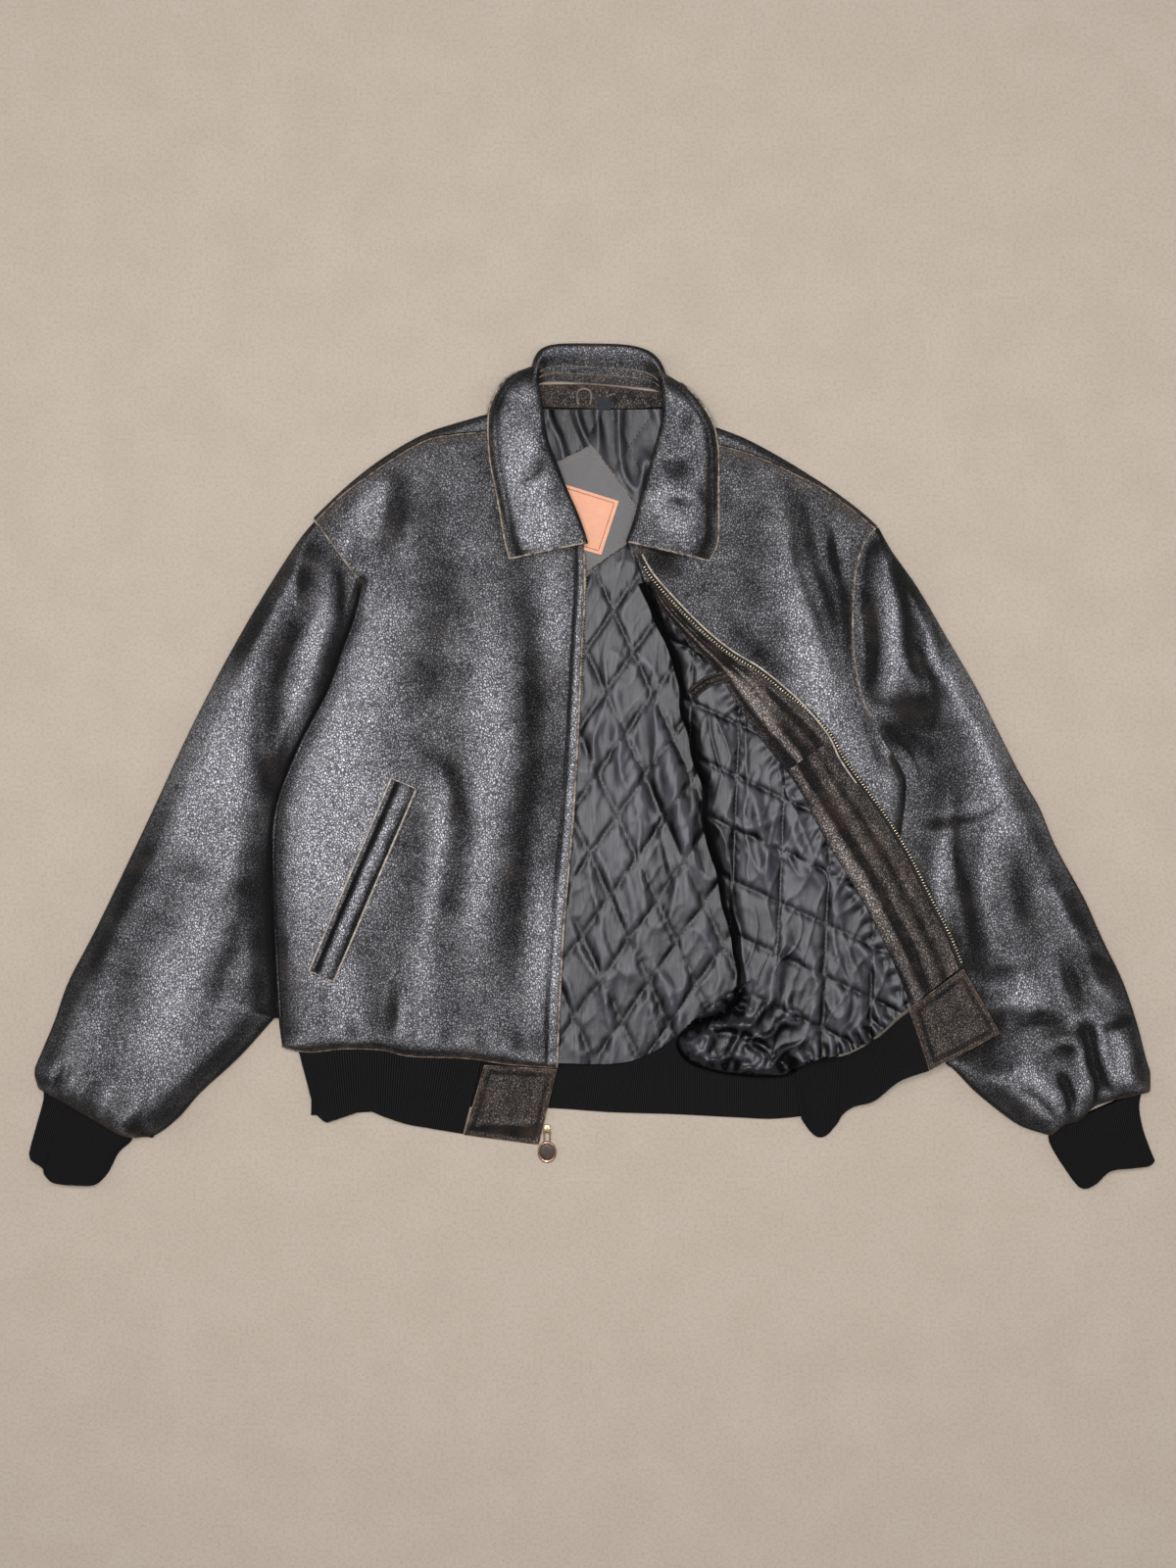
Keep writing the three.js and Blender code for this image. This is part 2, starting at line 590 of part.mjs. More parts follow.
// Left front: the chest lies face up, then turns over the fold and lies face down up to the zip
const leatherFold = spline(LEATHER_FOLD);
const foldEdge = spline(FOLD_EDGE);
const zipLine = spline(ZIP_LINE);
const zipWidth = (t) => lerp(ZIP_WIDTH[0], ZIP_WIDTH[1], smoothstep(t, ...ZIP_CROSSING));
const turnedEdge = beside(zipLine, zipWidth);
const chestHem = spline([LEATHER_FOLD.at(-1), CHEST_HEM, LEFT_SIDE.at(-1)]);
const turnedHem = spline([LEATHER_FOLD.at(-1), ...TURNED_HEM]);
const chestHeight = puffed(CHEST_TOP, [
  { curve: spline(LEFT_SIDE), height: CHEST_SIDE_EDGE, width: 30, profile: rolled },
  { curve: spline(LEFT_ARMHOLE), height: SHOULDER_TOP, width: 50, profile: eased },
  { curve: leftTop, height: SHOULDER_TOP, width: 60, profile: eased },
  { curve: leatherFold, height: FOLD_LOW, width: 110, profile: eased },
  { curve: chestHem, height: CHEST_HEM_EDGE, width: 60, profile: eased },
], CHEST_FOLDS);
const turnedHeight = (x, y) => {
  const over = smoothstep(x, ...TURNED_OVER_SLEEVE.x) * (1 - smoothstep(y, ...TURNED_OVER_SLEEVE.y));
  return TURNED_LOW + TURNED_RISE * over;
};

function leftFront() {
  const chest = patch(leftTop, chestHem, leatherFold, leftSide);
  const turned = patch(spline([LEATHER_FOLD[0], TURNED_TOP]), turnedHem, leatherFold, turnedEdge);
  const radius = (TURNED_LOW - FOLD_LOW) / 2;
  const bend = FOLD_BEND_DEG.map(THREE.MathUtils.degToRad);
  const notch = spline(LEFT_ARMHOLE).length / leftSide.length;
  const armholeRows = spaced(9, 0.3).map((t) => t * notch);
  const sideRows = spaced(11, 0.3).slice(1).map((t) => lerp(notch, 1, t));
  const rows = [...armholeRows, ...sideRows];
  const outer = rows.reverse().map((v) => {
    const fold = leatherFold.at(v);
    const row = spaced(11, 0.5).reverse().map((u) => {
      const [x, y] = chest(u, v);
      return new THREE.Vector3(x, y, u === 0 ? FOLD_LOW : chestHeight(x, y));
    });
    bend.forEach((a) => {
      const z = FOLD_LOW + radius + radius * Math.sin(a);
      row.push(new THREE.Vector3(fold.x - radius * Math.cos(a), fold.y, z));
    });
    spaced(5, 0).forEach((u) => {
      const [x, y] = turned(u, v);
      row.push(new THREE.Vector3(x, y, turnedHeight(x, y)));
    });
    return row;
  });
  return wall(outer, inside(outer, LEATHER));
}

// Back panel, flat on the floor, and the strips that come over the shoulders to the front seams
function backPanel() {
  const neck = spline([RIGHT_SHOULDER_FOLD.at(-1), ...BACK_NECK, LEFT_SHOULDER_FOLD[0]]);
  const curves = [
    [spline(RIGHT_SHOULDER_FOLD), 8],
    [neck, 10],
    [spline(LEFT_SHOULDER_FOLD), 8],
    [spline(LEFT_ARMHOLE), 12],
    [spline(LEFT_SIDE), 12],
    [part(spline(BACK_HEM), 1, 0), 16],
    [part(spline(RIGHT_SIDE), 1, 0), 24],
    [part(spline(RIGHT_ARMHOLE), 1, 0), 3],
  ];
  return outlinePrism(sampled(curves), 0, LEATHER);
}

function shoulderStrip(seam, fold) {
  const reach = distanceTo(fold);
  const height = (x, y) => lerp(SIDE_EDGE, SHOULDER_TOP, rolled(reach(x, y), SHOULDER_ROLL));
  const plan = (u, v) => {
    const [p, q] = [beside(seam, -STRIP_GAP).at(u), fold.at(u)];
    return [lerp(q.x, p.x, v), lerp(q.y, p.y, v)];
  };
  const outer = surface(plan, height, spaced(10, 0), [0, 0.12, 0.35, 0.65, 1]);
  return wall(outer, inside(outer, LEATHER));
}

// Sleeves: a puffed top over an under panel that lies flat
function sleeve({ top, cuffLine, outerEdge, innerEdge, height, mirrored }) {
  const [left, right] = mirrored ? [innerEdge, outerEdge] : [outerEdge, innerEdge];
  const plan = patch(top, cuffLine, left, right);
  const outer = surface(plan, height, spaced(12, 0.75), spaced(20, 0.3));
  const ends = spline([right.at(UNDER_END).toArray(), left.at(UNDER_END).toArray()]);
  const loop = [[top, 6], [part(right, 0, UNDER_END), 22], [ends, 4], [part(left, UNDER_END, 0), 22]];
  return { top: wall(outer, inside(outer, LEATHER)), under: outlinePrism(sampled(loop), 0, LEATHER) };
}

// A flattened knit tube, ribbed on its upper side
function cuff({ start, end, outerEdge, innerEdge, ribs }) {
  const plan = patch(start, end, outerEdge, innerEdge);
  const width = start.length;
  const edge = (u) => Math.min(u, 1 - u) * width;
  const low = (u) => KNIT * 0.5 * (1 - rolled(edge(u), KNIT * 2));
  const high = (u) => lerp(KNIT * 0.6, CUFF_TOP, rolled(edge(u), CUFF_ROLL));
  const loop = (v, topSteps, lowSteps, thickness, relief) => {
    const margin = thickness / width;
    const upper = Array.from({ length: topSteps + 1 }, (_, i) => {
      const u = lerp(margin, 1 - margin, i / topSteps);
      const [x, y] = plan(u, v);
      return new THREE.Vector3(x, y, high(u) - thickness + relief * (i % 2));
    });
    const lower = Array.from({ length: lowSteps - 1 }, (_, i) => {
      const u = lerp(1 - margin, margin, (i + 1) / lowSteps);
      const [x, y] = plan(u, v);
      return new THREE.Vector3(x, y, low(u) + thickness);
    });
    return [...upper, ...lower];
  };
  const rows = [0, 0.5, 1];
  const outer = rows.map((v) => loop(v, 2 * ribs, 12, 0, RIB_RELIEF));
  const inner = rows.map((v) => loop(v, Math.round(ribs / 3), 2, KNIT, 0));
  return wall(outer, inner, { closed: true });
}

// A flat band of rib knit between an upper and a lower curve, with ribs over a stretch of its length
function ribBand({ high, low, base, from = 0, to = 1, rows }) {
  const plan = (u, v) => {
    const [p, q] = [high.at(u), low.at(u)];
    return [lerp(p.x, q.x, v), lerp(p.y, q.y, v)];
  };
  const ribs = Math.round((low.length * (to - from)) / RIB_PITCH);
  const ribbed = (_, i) => ({ u: lerp(from, to, i / (2 * ribs)), up: i % 2 });
  const columns = Array.from({ length: 2 * ribs + 1 }, ribbed);
  const plain = (start, end, steps) =>
    Array.from({ length: steps }, (_, i) => ({ u: lerp(start, end, i / steps), up: 0 }));
  if (from > 0) columns.unshift(...plain(0, from, 6));
  if (to < 1) columns.push(...plain(1, to, 3).reverse());
  const at = (u, v, rise) => {
    const [x, y] = plan(u, v);
    const point = new THREE.Vector3(x, y, base(x, y) + rise);
    return Object.assign(point, { t: u });
  };
  const outer = rows.map((v) => columns.map(({ u, up }) => at(u, v, KNIT + RIB_RELIEF * up)));
  const steps = Math.round(low.length / UNDERSIDE_STEP);
  const inner = rows.map((v) => spaced(steps, 0).map((u) => at(u, v, 0)));
  return wall(outer, inner);
}

// A small flat piece with four corners, laid over a height
function tab(corners, thickness, base, us, vs) {
  const [a, b, c, d] = corners;
  const plan = patch(spline([a, b]), spline([d, c]), spline([a, d]), spline([b, c]));
  const outer = surface(plan, (x, y) => base(x, y) + thickness, us, vs);
  return wall(outer, lowered(outer, thickness));
}

// A strip of a given width along a plan path, laid over a height
function strip(path, width, thickness, base, steps) {
  const plan = (u, v) => {
    const p = path.at(u);
    const n = normalAt(path, u);
    return [p.x - n.x * width(u) * v, p.y - n.y * width(u) * v];
  };
  const outer = surface(plan, (x, y) => base(x, y) + thickness, spaced(steps, 0), [0, 1]);
  return wall(outer, lowered(outer, thickness));
}

// Quilted lining on the turned front: it rolls over the fold and bunches into a lobe at the hem
const liningRim = chain(foldEdge, spline(FOLD_LOBE));
const facingEdge = spline(FACING_EDGE);
const rimDistance = distanceTo(liningRim, 140);
const turnedQuilt = (x, y) => {
  const [dx, dy] = [x - TURNED_QUILT.origin[0], y - TURNED_QUILT.origin[1]];
  const [[ax, ay], [bx, by]] = [TURNED_QUILT.first, TURNED_QUILT.second];
  const area = ax * by - ay * bx;
  const p = (dx * by - dy * bx) / area;
  const q = (ax * dy - ay * dx) / area;
  return QUILT_PUFF * Math.sqrt(Math.abs(Math.sin(PI * p) * Math.sin(PI * q)));
};
const liningBase = (x, y) =>
  lerp(LINING_RIM, turnedHeight(x, y) + LEATHER + LINING_CLEARANCE, rolled(rimDistance(x, y), LINING_ROLL));
const liningTop = (x, y) =>
  liningBase(x, y) + LINING + turnedQuilt(x, y) * eased(rimDistance(x, y), LINING_ROLL);

function leftLining() {
  const hem = spline(LEFT_LINING_HEM);
  const top = spline([FOLD_EDGE[0], [FACING_EDGE[0][0] - SEAM, FACING_EDGE[0][1]]]);
  const facing = beside(facingEdge, 2 * SEAM);
  const plan = patch(top, hem, liningRim, facing);
  const rows = spaced(32, 0.2);
  const outer = surface(plan, liningTop, LINING_COLUMNS, rows);
  const inner = surface(plan, liningBase, LINING_COLUMNS.filter((_, i) => i % 2 === 0), rows);
  return wall(outer, inner);
}

// Quilted lining of the back, seen in the open front
function backLining() {
  const front = (points, shift) => points.map(([x, y]) => [x + shift, y]);
  const left = front(RIGHT_FRONT_EDGE.slice(1, -1), -LINING_UNDER_FRONT).reverse();
  const right = front(FOLD_EDGE.slice(1), LINING_UNDER_FRONT);
  const outline = [...BACK_LINING_HEM.slice().reverse(), ...left, ...BACK_LINING_NECK, ...right];
  const slab = quiltedSlab({ ...BACK_QUILT, thickness: LINING, puff: QUILT_PUFF, plainUnderside: true });
  const cutter = outlinePrism(outline, -1, LINING + QUILT_PUFF + 1);
  return toGeometry(toSolid(slab).intersect(toSolid(cutter))).translate(0, 0, LINING_BASE);
}

// Facing beside the zip, in two lengths
function facingPiece(from, to) {
  const edge = part(beside(zipLine, (t) => zipWidth(t) + ZIP_MARGIN), FACING_START, 1);
  const plan = (u, v) => {
    const t = lerp(from, to, v);
    const [p, q] = [facingEdge.at(t), edge.at(t)];
    return [lerp(p.x, q.x, u), lerp(p.y, q.y, u)];
  };
  const height = (x, y) => turnedHeight(x, y) + LEATHER + SEAM + FACING;
  const outer = surface(plan, height, spaced(3, 0), spaced(14, 0));
  return wall(outer, lowered(outer, FACING));
}

// Collar: a stand that rises from the neck seam, rolls over and falls; at the back the fall is tucked under
function collar() {
  const knots = (points) => new THREE.SplineCurve(points.map(([x, y]) => new THREE.Vector2(x, y)));
  const [seamKnots, rollKnots, edgeKnots] = [COLLAR_SEAM, COLLAR_ROLL, COLLAR_EDGE].map(knots);
  const sections = Array.from({ length: COLLAR_STEPS + 1 }, (_, i) => {
    const t = i / COLLAR_STEPS;
    const [s, r, e] = [seamKnots, rollKnots, edgeKnots].map((c) => c.getPoint(t));
    const ahead = rollKnots.getPoint(Math.min(t + COLLAR_NORMAL_STEP, 1));
    const d = ahead.sub(rollKnots.getPoint(Math.max(t - COLLAR_NORMAL_STEP, 0))).normalize();
    const n = new THREE.Vector2(-d.y, d.x);
    const back = 1 - smoothstep(Math.abs(t - COLLAR_BACK), COLLAR_TUCK[0], COLLAR_TUCK[1]);
    return COLLAR_SECTION.map(({ from, share, leaf, tucked, rests }) => {
      const p = from === "seam" ? s.clone().lerp(r, share) : r.clone().lerp(e, share);
      p.addScaledVector(n, lerp(leaf[0], tucked[0], back));
      const under = (p.x < 0 ? rightFrontHeight : chestHeight)(p.x, p.y) + COLLAR_CLOTH + 2 * SEAM;
      return new THREE.Vector3(p.x, p.y, lerp(rests ? Math.max(leaf[1], under) : leaf[1], tucked[1], back));
    });
  });
  const outer = COLLAR_SECTION.map((_, k) => sections.map((section) => section[k])).reverse();
  return wall(outer, inside(outer, COLLAR_CLOTH));
}

function neckFacing() {
  const [high, low] = [spline(NECK_FACING_HIGH), spline(NECK_FACING_LOW)];
  const plan = (u, v) => [lerp(high.at(u).x, low.at(u).x, v), lerp(high.at(u).y, low.at(u).y, v)];
  const outer = surface(plan, () => NECK_FACING_TOP, spaced(8, 0), [0, 0.5, 1]);
  return wall(outer, lowered(outer, LEATHER));
}

function hangerLoop() {
  const half = LOOP_STRAP / 2;
  const height = NECK_FACING_TOP + SEAM + half;
  const path = new THREE.CatmullRomCurve3(HANGER_LOOP.map(([x, y]) => new THREE.Vector3(x, y, height)));
  const corners = [[-half, -half], [half, -half], [half, half], [-half, half]];
  const strap = new THREE.Shape(corners.map(([x, y]) => new THREE.Vector2(x, y)));
  return new THREE.ExtrudeGeometry(strap, { steps: LOOP_STEPS, extrudePath: path, bevelEnabled: false });
}

// Pocket in the right front: the opening's welt and the narrow jet beside it, made from the panel's points
function pocketPiece(from, to, thickness) {
  const path = spline([POCKET_TOP, POCKET_BOTTOM]);
  const across = normalAt(path, 0.5);
  const plan = (u, v) => {
    const p = path.at(u);
    const side = lerp(from, to, v) - 0.5;
    return [p.x - across.x * side * POCKET_WIDTH, p.y - across.y * side * POCKET_WIDTH];
  };
  const base = (x, y) => rightFrontHeight(x, y) + POCKET_CLEARANCE;
  const round = (v) => thickness * lerp(POCKET_RIM, 1, Math.sin(PI * v));
  const us = spaced(12, 0);
  const vs = [0, 0.3, 0.7, 1];
  const outer = surface(plan, (x, y, u, v) => base(x, y) + round(v), us, vs);
  const inner = surface(plan, base, us, vs);
  return wall(outer, inner);
}

// Slider with its bridge, and a hinged pull: a cross bar, two arms and an oval disc
function slider() {
  const body = toSolid(outlinePrism(SLIDER_OUTLINE, 0, SLIDER_HEIGHT));
  const points = SLIDER_BRIDGE.map(([y, z]) => new THREE.Vector3(0, y, z + SLIDER_HEIGHT));
  const arch = new THREE.CatmullRomCurve3(points);
  const bridge = new THREE.TubeGeometry(arch, BRIDGE_STEPS, BRIDGE_WIRE, BRIDGE_SIDES, false);
  return toGeometry(body.add(toSolid(capped(bridge, BRIDGE_STEPS, BRIDGE_SIDES))));
}

// Closes both ends of a tube
function capped(tube, steps, sides) {
  const position = tube.getAttribute("position");
  const ring = (k) => Array.from({ length: sides }, (_, i) =>
    new THREE.Vector3().fromBufferAttribute(position, k * (sides + 1) + i));
  const rings = Array.from({ length: steps + 1 }, (_, k) => ring(k));
  const stretch = (r, k) => wasm.Manifold.hull([...rings[k], ...r].map((p) => p.toArray()));
  return toGeometry(wasm.Manifold.union(rings.slice(1).map(stretch)));
}

function pull() {
  const { radius, length, sides } = PULL_BAR;
  const bar = new THREE.CylinderGeometry(radius, radius, length, sides).rotateZ(PI / 2);
  const [armWidth, armHeight] = PULL_ARM_SECTION;
  const arm = (x) => {
    const rod = new THREE.BoxGeometry(armWidth, PULL_ARM, armHeight);
    return rod.translate(x, radius - PULL_ARM / 2, 0);
  };
  const oval = (inset, thickness) => {
    const round = new THREE.CylinderGeometry(1, 1, thickness, PULL_SIDES).rotateX(PI / 2);
    return round.scale(PULL_DISC[0] - inset, PULL_DISC[1] - inset, 1);
  };
  const centre = [0, PULL_OVERLAP - PULL_ARM - PULL_DISC[1], 0];
  const disc = oval(0, PULL_THICKNESS).translate(...centre);
  const recess = oval(PULL_RIM, 1).translate(centre[0], centre[1], PULL_THICKNESS / 2 + PULL_RECESS);
  const rim = toSolid(disc).subtract(toSolid(recess));
  const arms = [bar, arm(-PULL_ARM_OFFSET), arm(PULL_ARM_OFFSET)].map(toSolid);
  return toGeometry(wasm.Manifold.union([...arms, rim]));
}

// The pieces of the jacket
addPiece("back_panel", backPanel(), "shell");
const rightStrip = shoulderStrip(spline(RIGHT_SHOULDER_SEAM), spline(RIGHT_SHOULDER_FOLD));
addPiece("right_shoulder_strip", rightStrip, "shell");
const leftStrip = shoulderStrip(spline(LEFT_SHOULDER_SEAM), spline(LEFT_SHOULDER_FOLD));
addPiece("left_shoulder_strip", leftStrip, "shell");
addPiece("right_front", rightFront(), "shell");
addPiece("left_front", leftFront(), "shell");

const rightUnderarm = chain(spline(RIGHT_SIDE), spline(RIGHT_SLEEVE_LOWER));
const rightArm = sleeve({
  top: spline([RIGHT_SLEEVE_OUTER[0], ...RIGHT_SLEEVE_HEAD]),
  cuffLine: spline(RIGHT_CUFF_LINE),
  outerEdge: spline(RIGHT_SLEEVE_OUTER),
  innerEdge: chain(beside(part(spline(RIGHT_SIDE), 0, 0.94), SLEEVE_GAP), spline(RIGHT_SLEEVE_LOWER)),
  height: puffed(SLEEVE_TOP, [
    { curve: spline(RIGHT_SLEEVE_OUTER), height: SIDE_EDGE, width: 46, profile: rolled },
    { curve: rightUnderarm, height: SIDE_EDGE, width: 46, profile: rolled },
    { curve: spline(RIGHT_ARMHOLE), height: SHOULDER_TOP, width: 70, profile: eased },
    { curve: spline(RIGHT_CUFF_LINE), height: SLEEVE_END, width: 34, profile: rolled },
  ], RIGHT_SLEEVE_FOLDS),
});
addPiece("right_sleeve_top", rightArm.top, "shell");
addPiece("right_sleeve_under", rightArm.under, "shell");

const armholeGap = (t) => -lerp(SLEEVE_GAP, UNDERARM_GAP, smoothstep(t, 0.6, 1));
const leftArmhole = beside(spline(LEFT_ARMHOLE), armholeGap);
const leftUnderarm = spline([leftArmhole.at(1).toArray(), LEFT_UNDERARM, ...LEFT_SLEEVE_LOWER]);
const leftBodySide = chain(leftArmhole, leftUnderarm);
const leftArm = sleeve({
  top: spline([leftBodySide.at(0).toArray(), LEFT_SLEEVE_OUTER[0]]),
  cuffLine: part(spline(LEFT_CUFF_LINE), 1, 0),
  outerEdge: spline(LEFT_SLEEVE_OUTER),
  innerEdge: leftBodySide,
  mirrored: true,
  height: puffed(SLEEVE_TOP, [
    { curve: spline(LEFT_SLEEVE_OUTER), height: SIDE_EDGE, width: 46, profile: rolled },
    { curve: part(leftUnderarm, 0, 0.62), height: SIDE_EDGE, width: 105, profile: eased },
    { curve: part(leftUnderarm, 0.6, 1), height: SIDE_EDGE, width: 46, profile: rolled },
    { curve: leftArmhole, height: SHOULDER_TOP, width: 60, profile: eased },
    { curve: spline(LEFT_CUFF_LINE), height: SLEEVE_END, width: 34, profile: rolled },
  ], LEFT_SLEEVE_FOLDS),
});
addPiece("left_sleeve_top", leftArm.top, "shell");
addPiece("left_sleeve_under", leftArm.under, "shell");

addPiece("right_cuff", cuff({
  start: spline([RIGHT_CUFF_OUTER[0], RIGHT_CUFF_INNER[0]]),
  end: spline(RIGHT_CUFF_END),
  outerEdge: spline(RIGHT_CUFF_OUTER),
  innerEdge: spline(RIGHT_CUFF_INNER),
  ribs: CUFF_RIBS,
}), "knit");
addPiece("left_cuff", cuff({
  start: spline([LEFT_CUFF_INNER[0], LEFT_CUFF_OUTER[0]]),
  end: part(spline(LEFT_CUFF_END), 1, 0),
  outerEdge: spline(LEFT_CUFF_INNER),
  innerEdge: spline(LEFT_CUFF_OUTER),
  ribs: CUFF_RIBS,
}), "knit");

// Hem knit, and the leather tabs at its front ends
const overBack = (x, y) => lerp(RIB_LOW, KNIT + RIB_RELIEF + 1, smoothstep(y, ...RIB_STEP));
const overSleeve = (x, y) => {
  const drop = RIB_LOW + RIB_DROP.height * (1 - smoothstep(x, ...RIB_DROP.x));
  return Math.max(turnedHeight(x, y) - drop, overBack(x, y));
};
addPiece("hem_rib_back", ribBand({
  high: part(beside(spline(BACK_HEM), 2 * SEAM), 0.05, 0.93),
  low: spline(BACK_RIB_LOW),
  base: () => 0,
  from: BACK_RIBS_SHOWN[0],
  to: BACK_RIBS_SHOWN[1],
  rows: [0, 1],
}), "knit");
addPiece("hem_rib_right", ribBand({
  high: spline(RIGHT_RIB_HIGH),
  low: spline(RIGHT_RIB_LOW),
  base: overBack,
  rows: [0, 0.8, 1],
}), "knit");
addPiece("hem_rib_left", ribBand({
  high: spline(LEFT_RIB_HIGH),
  low: spline(LEFT_RIB_LOW),
  base: overSleeve,
  rows: [0, 0.75, 1],
}), "knit");
const tabColumns = spaced(4, 0);
addPiece("right_hem_tab", tab(RIGHT_TAB, TAB, overBack, tabColumns, TAB_ROWS), "facing");
addPiece("left_hem_tab", tab(LEFT_TAB, TAB, turnedHeight, tabColumns, TAB_ROWS), "facing");

addPiece("left_lining", leftLining(), "lining");
addPiece("back_lining", backLining(), "lining");
addPiece("left_facing_upper", facingPiece(0, FACING_JOIN), "facing");
addPiece("left_facing_lower", facingPiece(FACING_JOIN + FACING_PART, 1), "facing");
const overLining = (x, y) => liningTop(x, y) + INNER_WELT.clearance;
const innerWeltLine = spline(INNER_WELT.path);
const innerWelt = strip(innerWeltLine, () => INNER_WELT.width, LEATHER, overLining, INNER_WELT.steps);
addPiece("inner_pocket_welt", innerWelt, "facing");
addPiece("right_pocket_welt", pocketPiece(0, WELT.share, WELT.thickness), "facing");
addPiece("right_pocket_jet", pocketPiece(JET.from, 1, JET.thickness), "facing");

addPiece("collar", collar(), "shell");
addPiece("neck_facing", neckFacing(), "facing");
addPiece("hanger_loop", hangerLoop(), "facing");
const onNeckFacing = () => NECK_FACING_TOP + SEAM;
addPiece("size_label", tab(SIZE_LABEL, WOVEN, onNeckFacing, [0, 1], [0, 1]), "woven");
const overQuilt = LINING_BASE + LINING + QUILT_PUFF + SEAM;
const overPatch = overQuilt + PATCH + SEAM;
addPiece("neck_patch", outlinePrism(NECK_PATCH, overQuilt, overQuilt + PATCH), "patch");
addPiece("neck_label", outlinePrism(LABEL, overPatch, overPatch + PATCH), "label");

const leftZipWidth = (u) => zipWidth(u) - ZIP_MARGIN;
addPiece("zip_left", strip(zipLine, leftZipWidth, ZIP_CLOTH, turnedHeight, ZIP_STEPS.left), "brass");
const rightZipLine = beside(part(rightFrontEdge, RIGHT_ZIP.from, RIGHT_ZIP.to), -RIGHT_ZIP.inset);
const rightZip = strip(rightZipLine, () => RIGHT_ZIP.width, ZIP_CLOTH, () => overQuilt, ZIP_STEPS.right);
addPiece("zip_right", rightZip, "brass");
addPiece("zip_slider", slider().translate(...SLIDER_AT), "brass");
const hinge = new THREE.Group();
const [hingeAhead, hingeUp] = HINGE_OVER_SLIDER;
hinge.position.set(SLIDER_AT[0], SLIDER_AT[1] + hingeAhead, SLIDER_AT[2] + SLIDER_HEIGHT + hingeUp);
hinge.rotation.x = PULL_SLOPE;
addPiece("zip_pull", pull(), "brass", hinge);
jacket.add(hinge);

export default jacket;
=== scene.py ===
"""A worn leather bomber jacket laid on its back with its left front turned open.

Sizes are in millimetres and turned into metres as each mesh is made.
+Z is up from the floor, +Y points to the collar and +X to the wearer's left.
"""

import math

import bmesh
import bpy
import numpy as np
from mathutils import Matrix, Vector


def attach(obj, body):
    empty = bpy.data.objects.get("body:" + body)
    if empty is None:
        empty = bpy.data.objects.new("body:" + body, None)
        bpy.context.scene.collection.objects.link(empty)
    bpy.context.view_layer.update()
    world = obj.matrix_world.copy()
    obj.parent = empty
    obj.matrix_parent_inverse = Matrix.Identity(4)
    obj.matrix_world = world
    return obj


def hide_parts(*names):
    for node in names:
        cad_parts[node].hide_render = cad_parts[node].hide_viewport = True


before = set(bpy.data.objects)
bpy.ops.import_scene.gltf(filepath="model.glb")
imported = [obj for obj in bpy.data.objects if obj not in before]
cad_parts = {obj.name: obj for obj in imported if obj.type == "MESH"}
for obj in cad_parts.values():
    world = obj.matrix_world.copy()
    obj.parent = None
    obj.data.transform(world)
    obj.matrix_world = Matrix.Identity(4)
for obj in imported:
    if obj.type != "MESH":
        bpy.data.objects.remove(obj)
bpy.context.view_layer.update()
MM = 0.001
PI = math.pi

# The photo's frame: its size in pixels, the pixel at the origin and the size of a pixel
PHOTO = (1200, 1600)
PHOTO_ORIGIN = (604, 782)
PIXEL = 0.95

# Cloth thicknesses
LEATHER = 1.4
LINING = 1.5
KNIT = 2.4
COLLAR_CLOTH = 2.4
FACING = 1.2
TAB = 3
PATCH = 1.2
WOVEN = 0.8
ZIP_CLOTH = 2.2
ZIP_TAPE = 1.4

# Heights of the stacked layers, and the small gaps between them
SEAM = 0.3
ABOVE_FLOOR = 0.05
LINING_BASE = LEATHER + SEAM
QUILT_PUFF = 3.6
QUILT_SHOWN = 1.5
LAYER_SEAT = 0.9
SIDE_EDGE = 2.7
HEM_EDGE = 8.6
FRONT_EDGE = 15
FRONT_TOP = 20
CHEST_TOP = 15.5
SHOULDER_TOP = 12.5
SLEEVE_TOP = 34
SLEEVE_END = 13
CUFF_TOP = 10.8
FOLD_LOW = 11.5
FOLD_HIGH = 13
TURNED_LOW = 17
TURNED_RISE = 10
LINING_RIM = 7.6
NECK_FACING_TOP = 7.2
PATCH_LOW = LINING_BASE + LINING + QUILT_PUFF + SEAM
ZIP_SINK = 0.4

# Widths in plan: of rolled edges, of tucks and gaps, of insets, and of the left tape at both ends
SHOULDER_ROLL = 11
CUFF_ROLL = 14
LINING_ROLL = 20
QUILT_ROUND = 4
SLEEVE_TUCK = 2.5
STRIP_GAP = 0.8
TAB_INSET = 6
PATCH_INSET = 6
LABEL_INSET = 5
ZIP_WIDTH = (5, 5.5)

# The share of the facing's length at its cross seam, and how sharply a puffed cloth's edges meet
FACING_JOIN = 0.47
EDGE_BLEND = 6

# Ripples of soft leather and gathers beside the quilting, each as a height and a size along the cloth
RIPPLES = ((1.6, 95), (0.8, 48), (0.5, 20))
GATHER = (0.2, 11)

# The strip along the right front's edge: its width at both ends, and the depth and width of its seam
STRIP_WIDTH = (7, 10.5)
STRIP_SWELL = 1.8
STRIP_SINK = 0.6
STRIP_GROOVE = (1.2, 1.3)

# Ribs, teeth and stitches
RIB_PITCH = 2.1
RIB_RELIEF = 0.55
CUFF_RIBS = 46
TOOTH_PITCH = 3.0
TOOTH_SIZE = (3.2, 1.6, 1.8)
TOOTH_ROUND = 0.45
STITCH_SIZE = (0.42, 1.45, 0.35)
STITCH_PITCH = 4.2
PATCH_PITCH = 3.4
LABEL_PITCH = 2.6
TRIM_PITCH = 3.6
QUILT_PITCH = 4.5

# Where the turned front climbs the sleeve, and where its hem knit drops from it, as stretches of X or Y
TURNED_RISE_X = (270, 395)
TURNED_RISE_Y = (-240, -40)
SLEEVE_STEP_X = (205, 320)
SLEEVE_STEP = 16

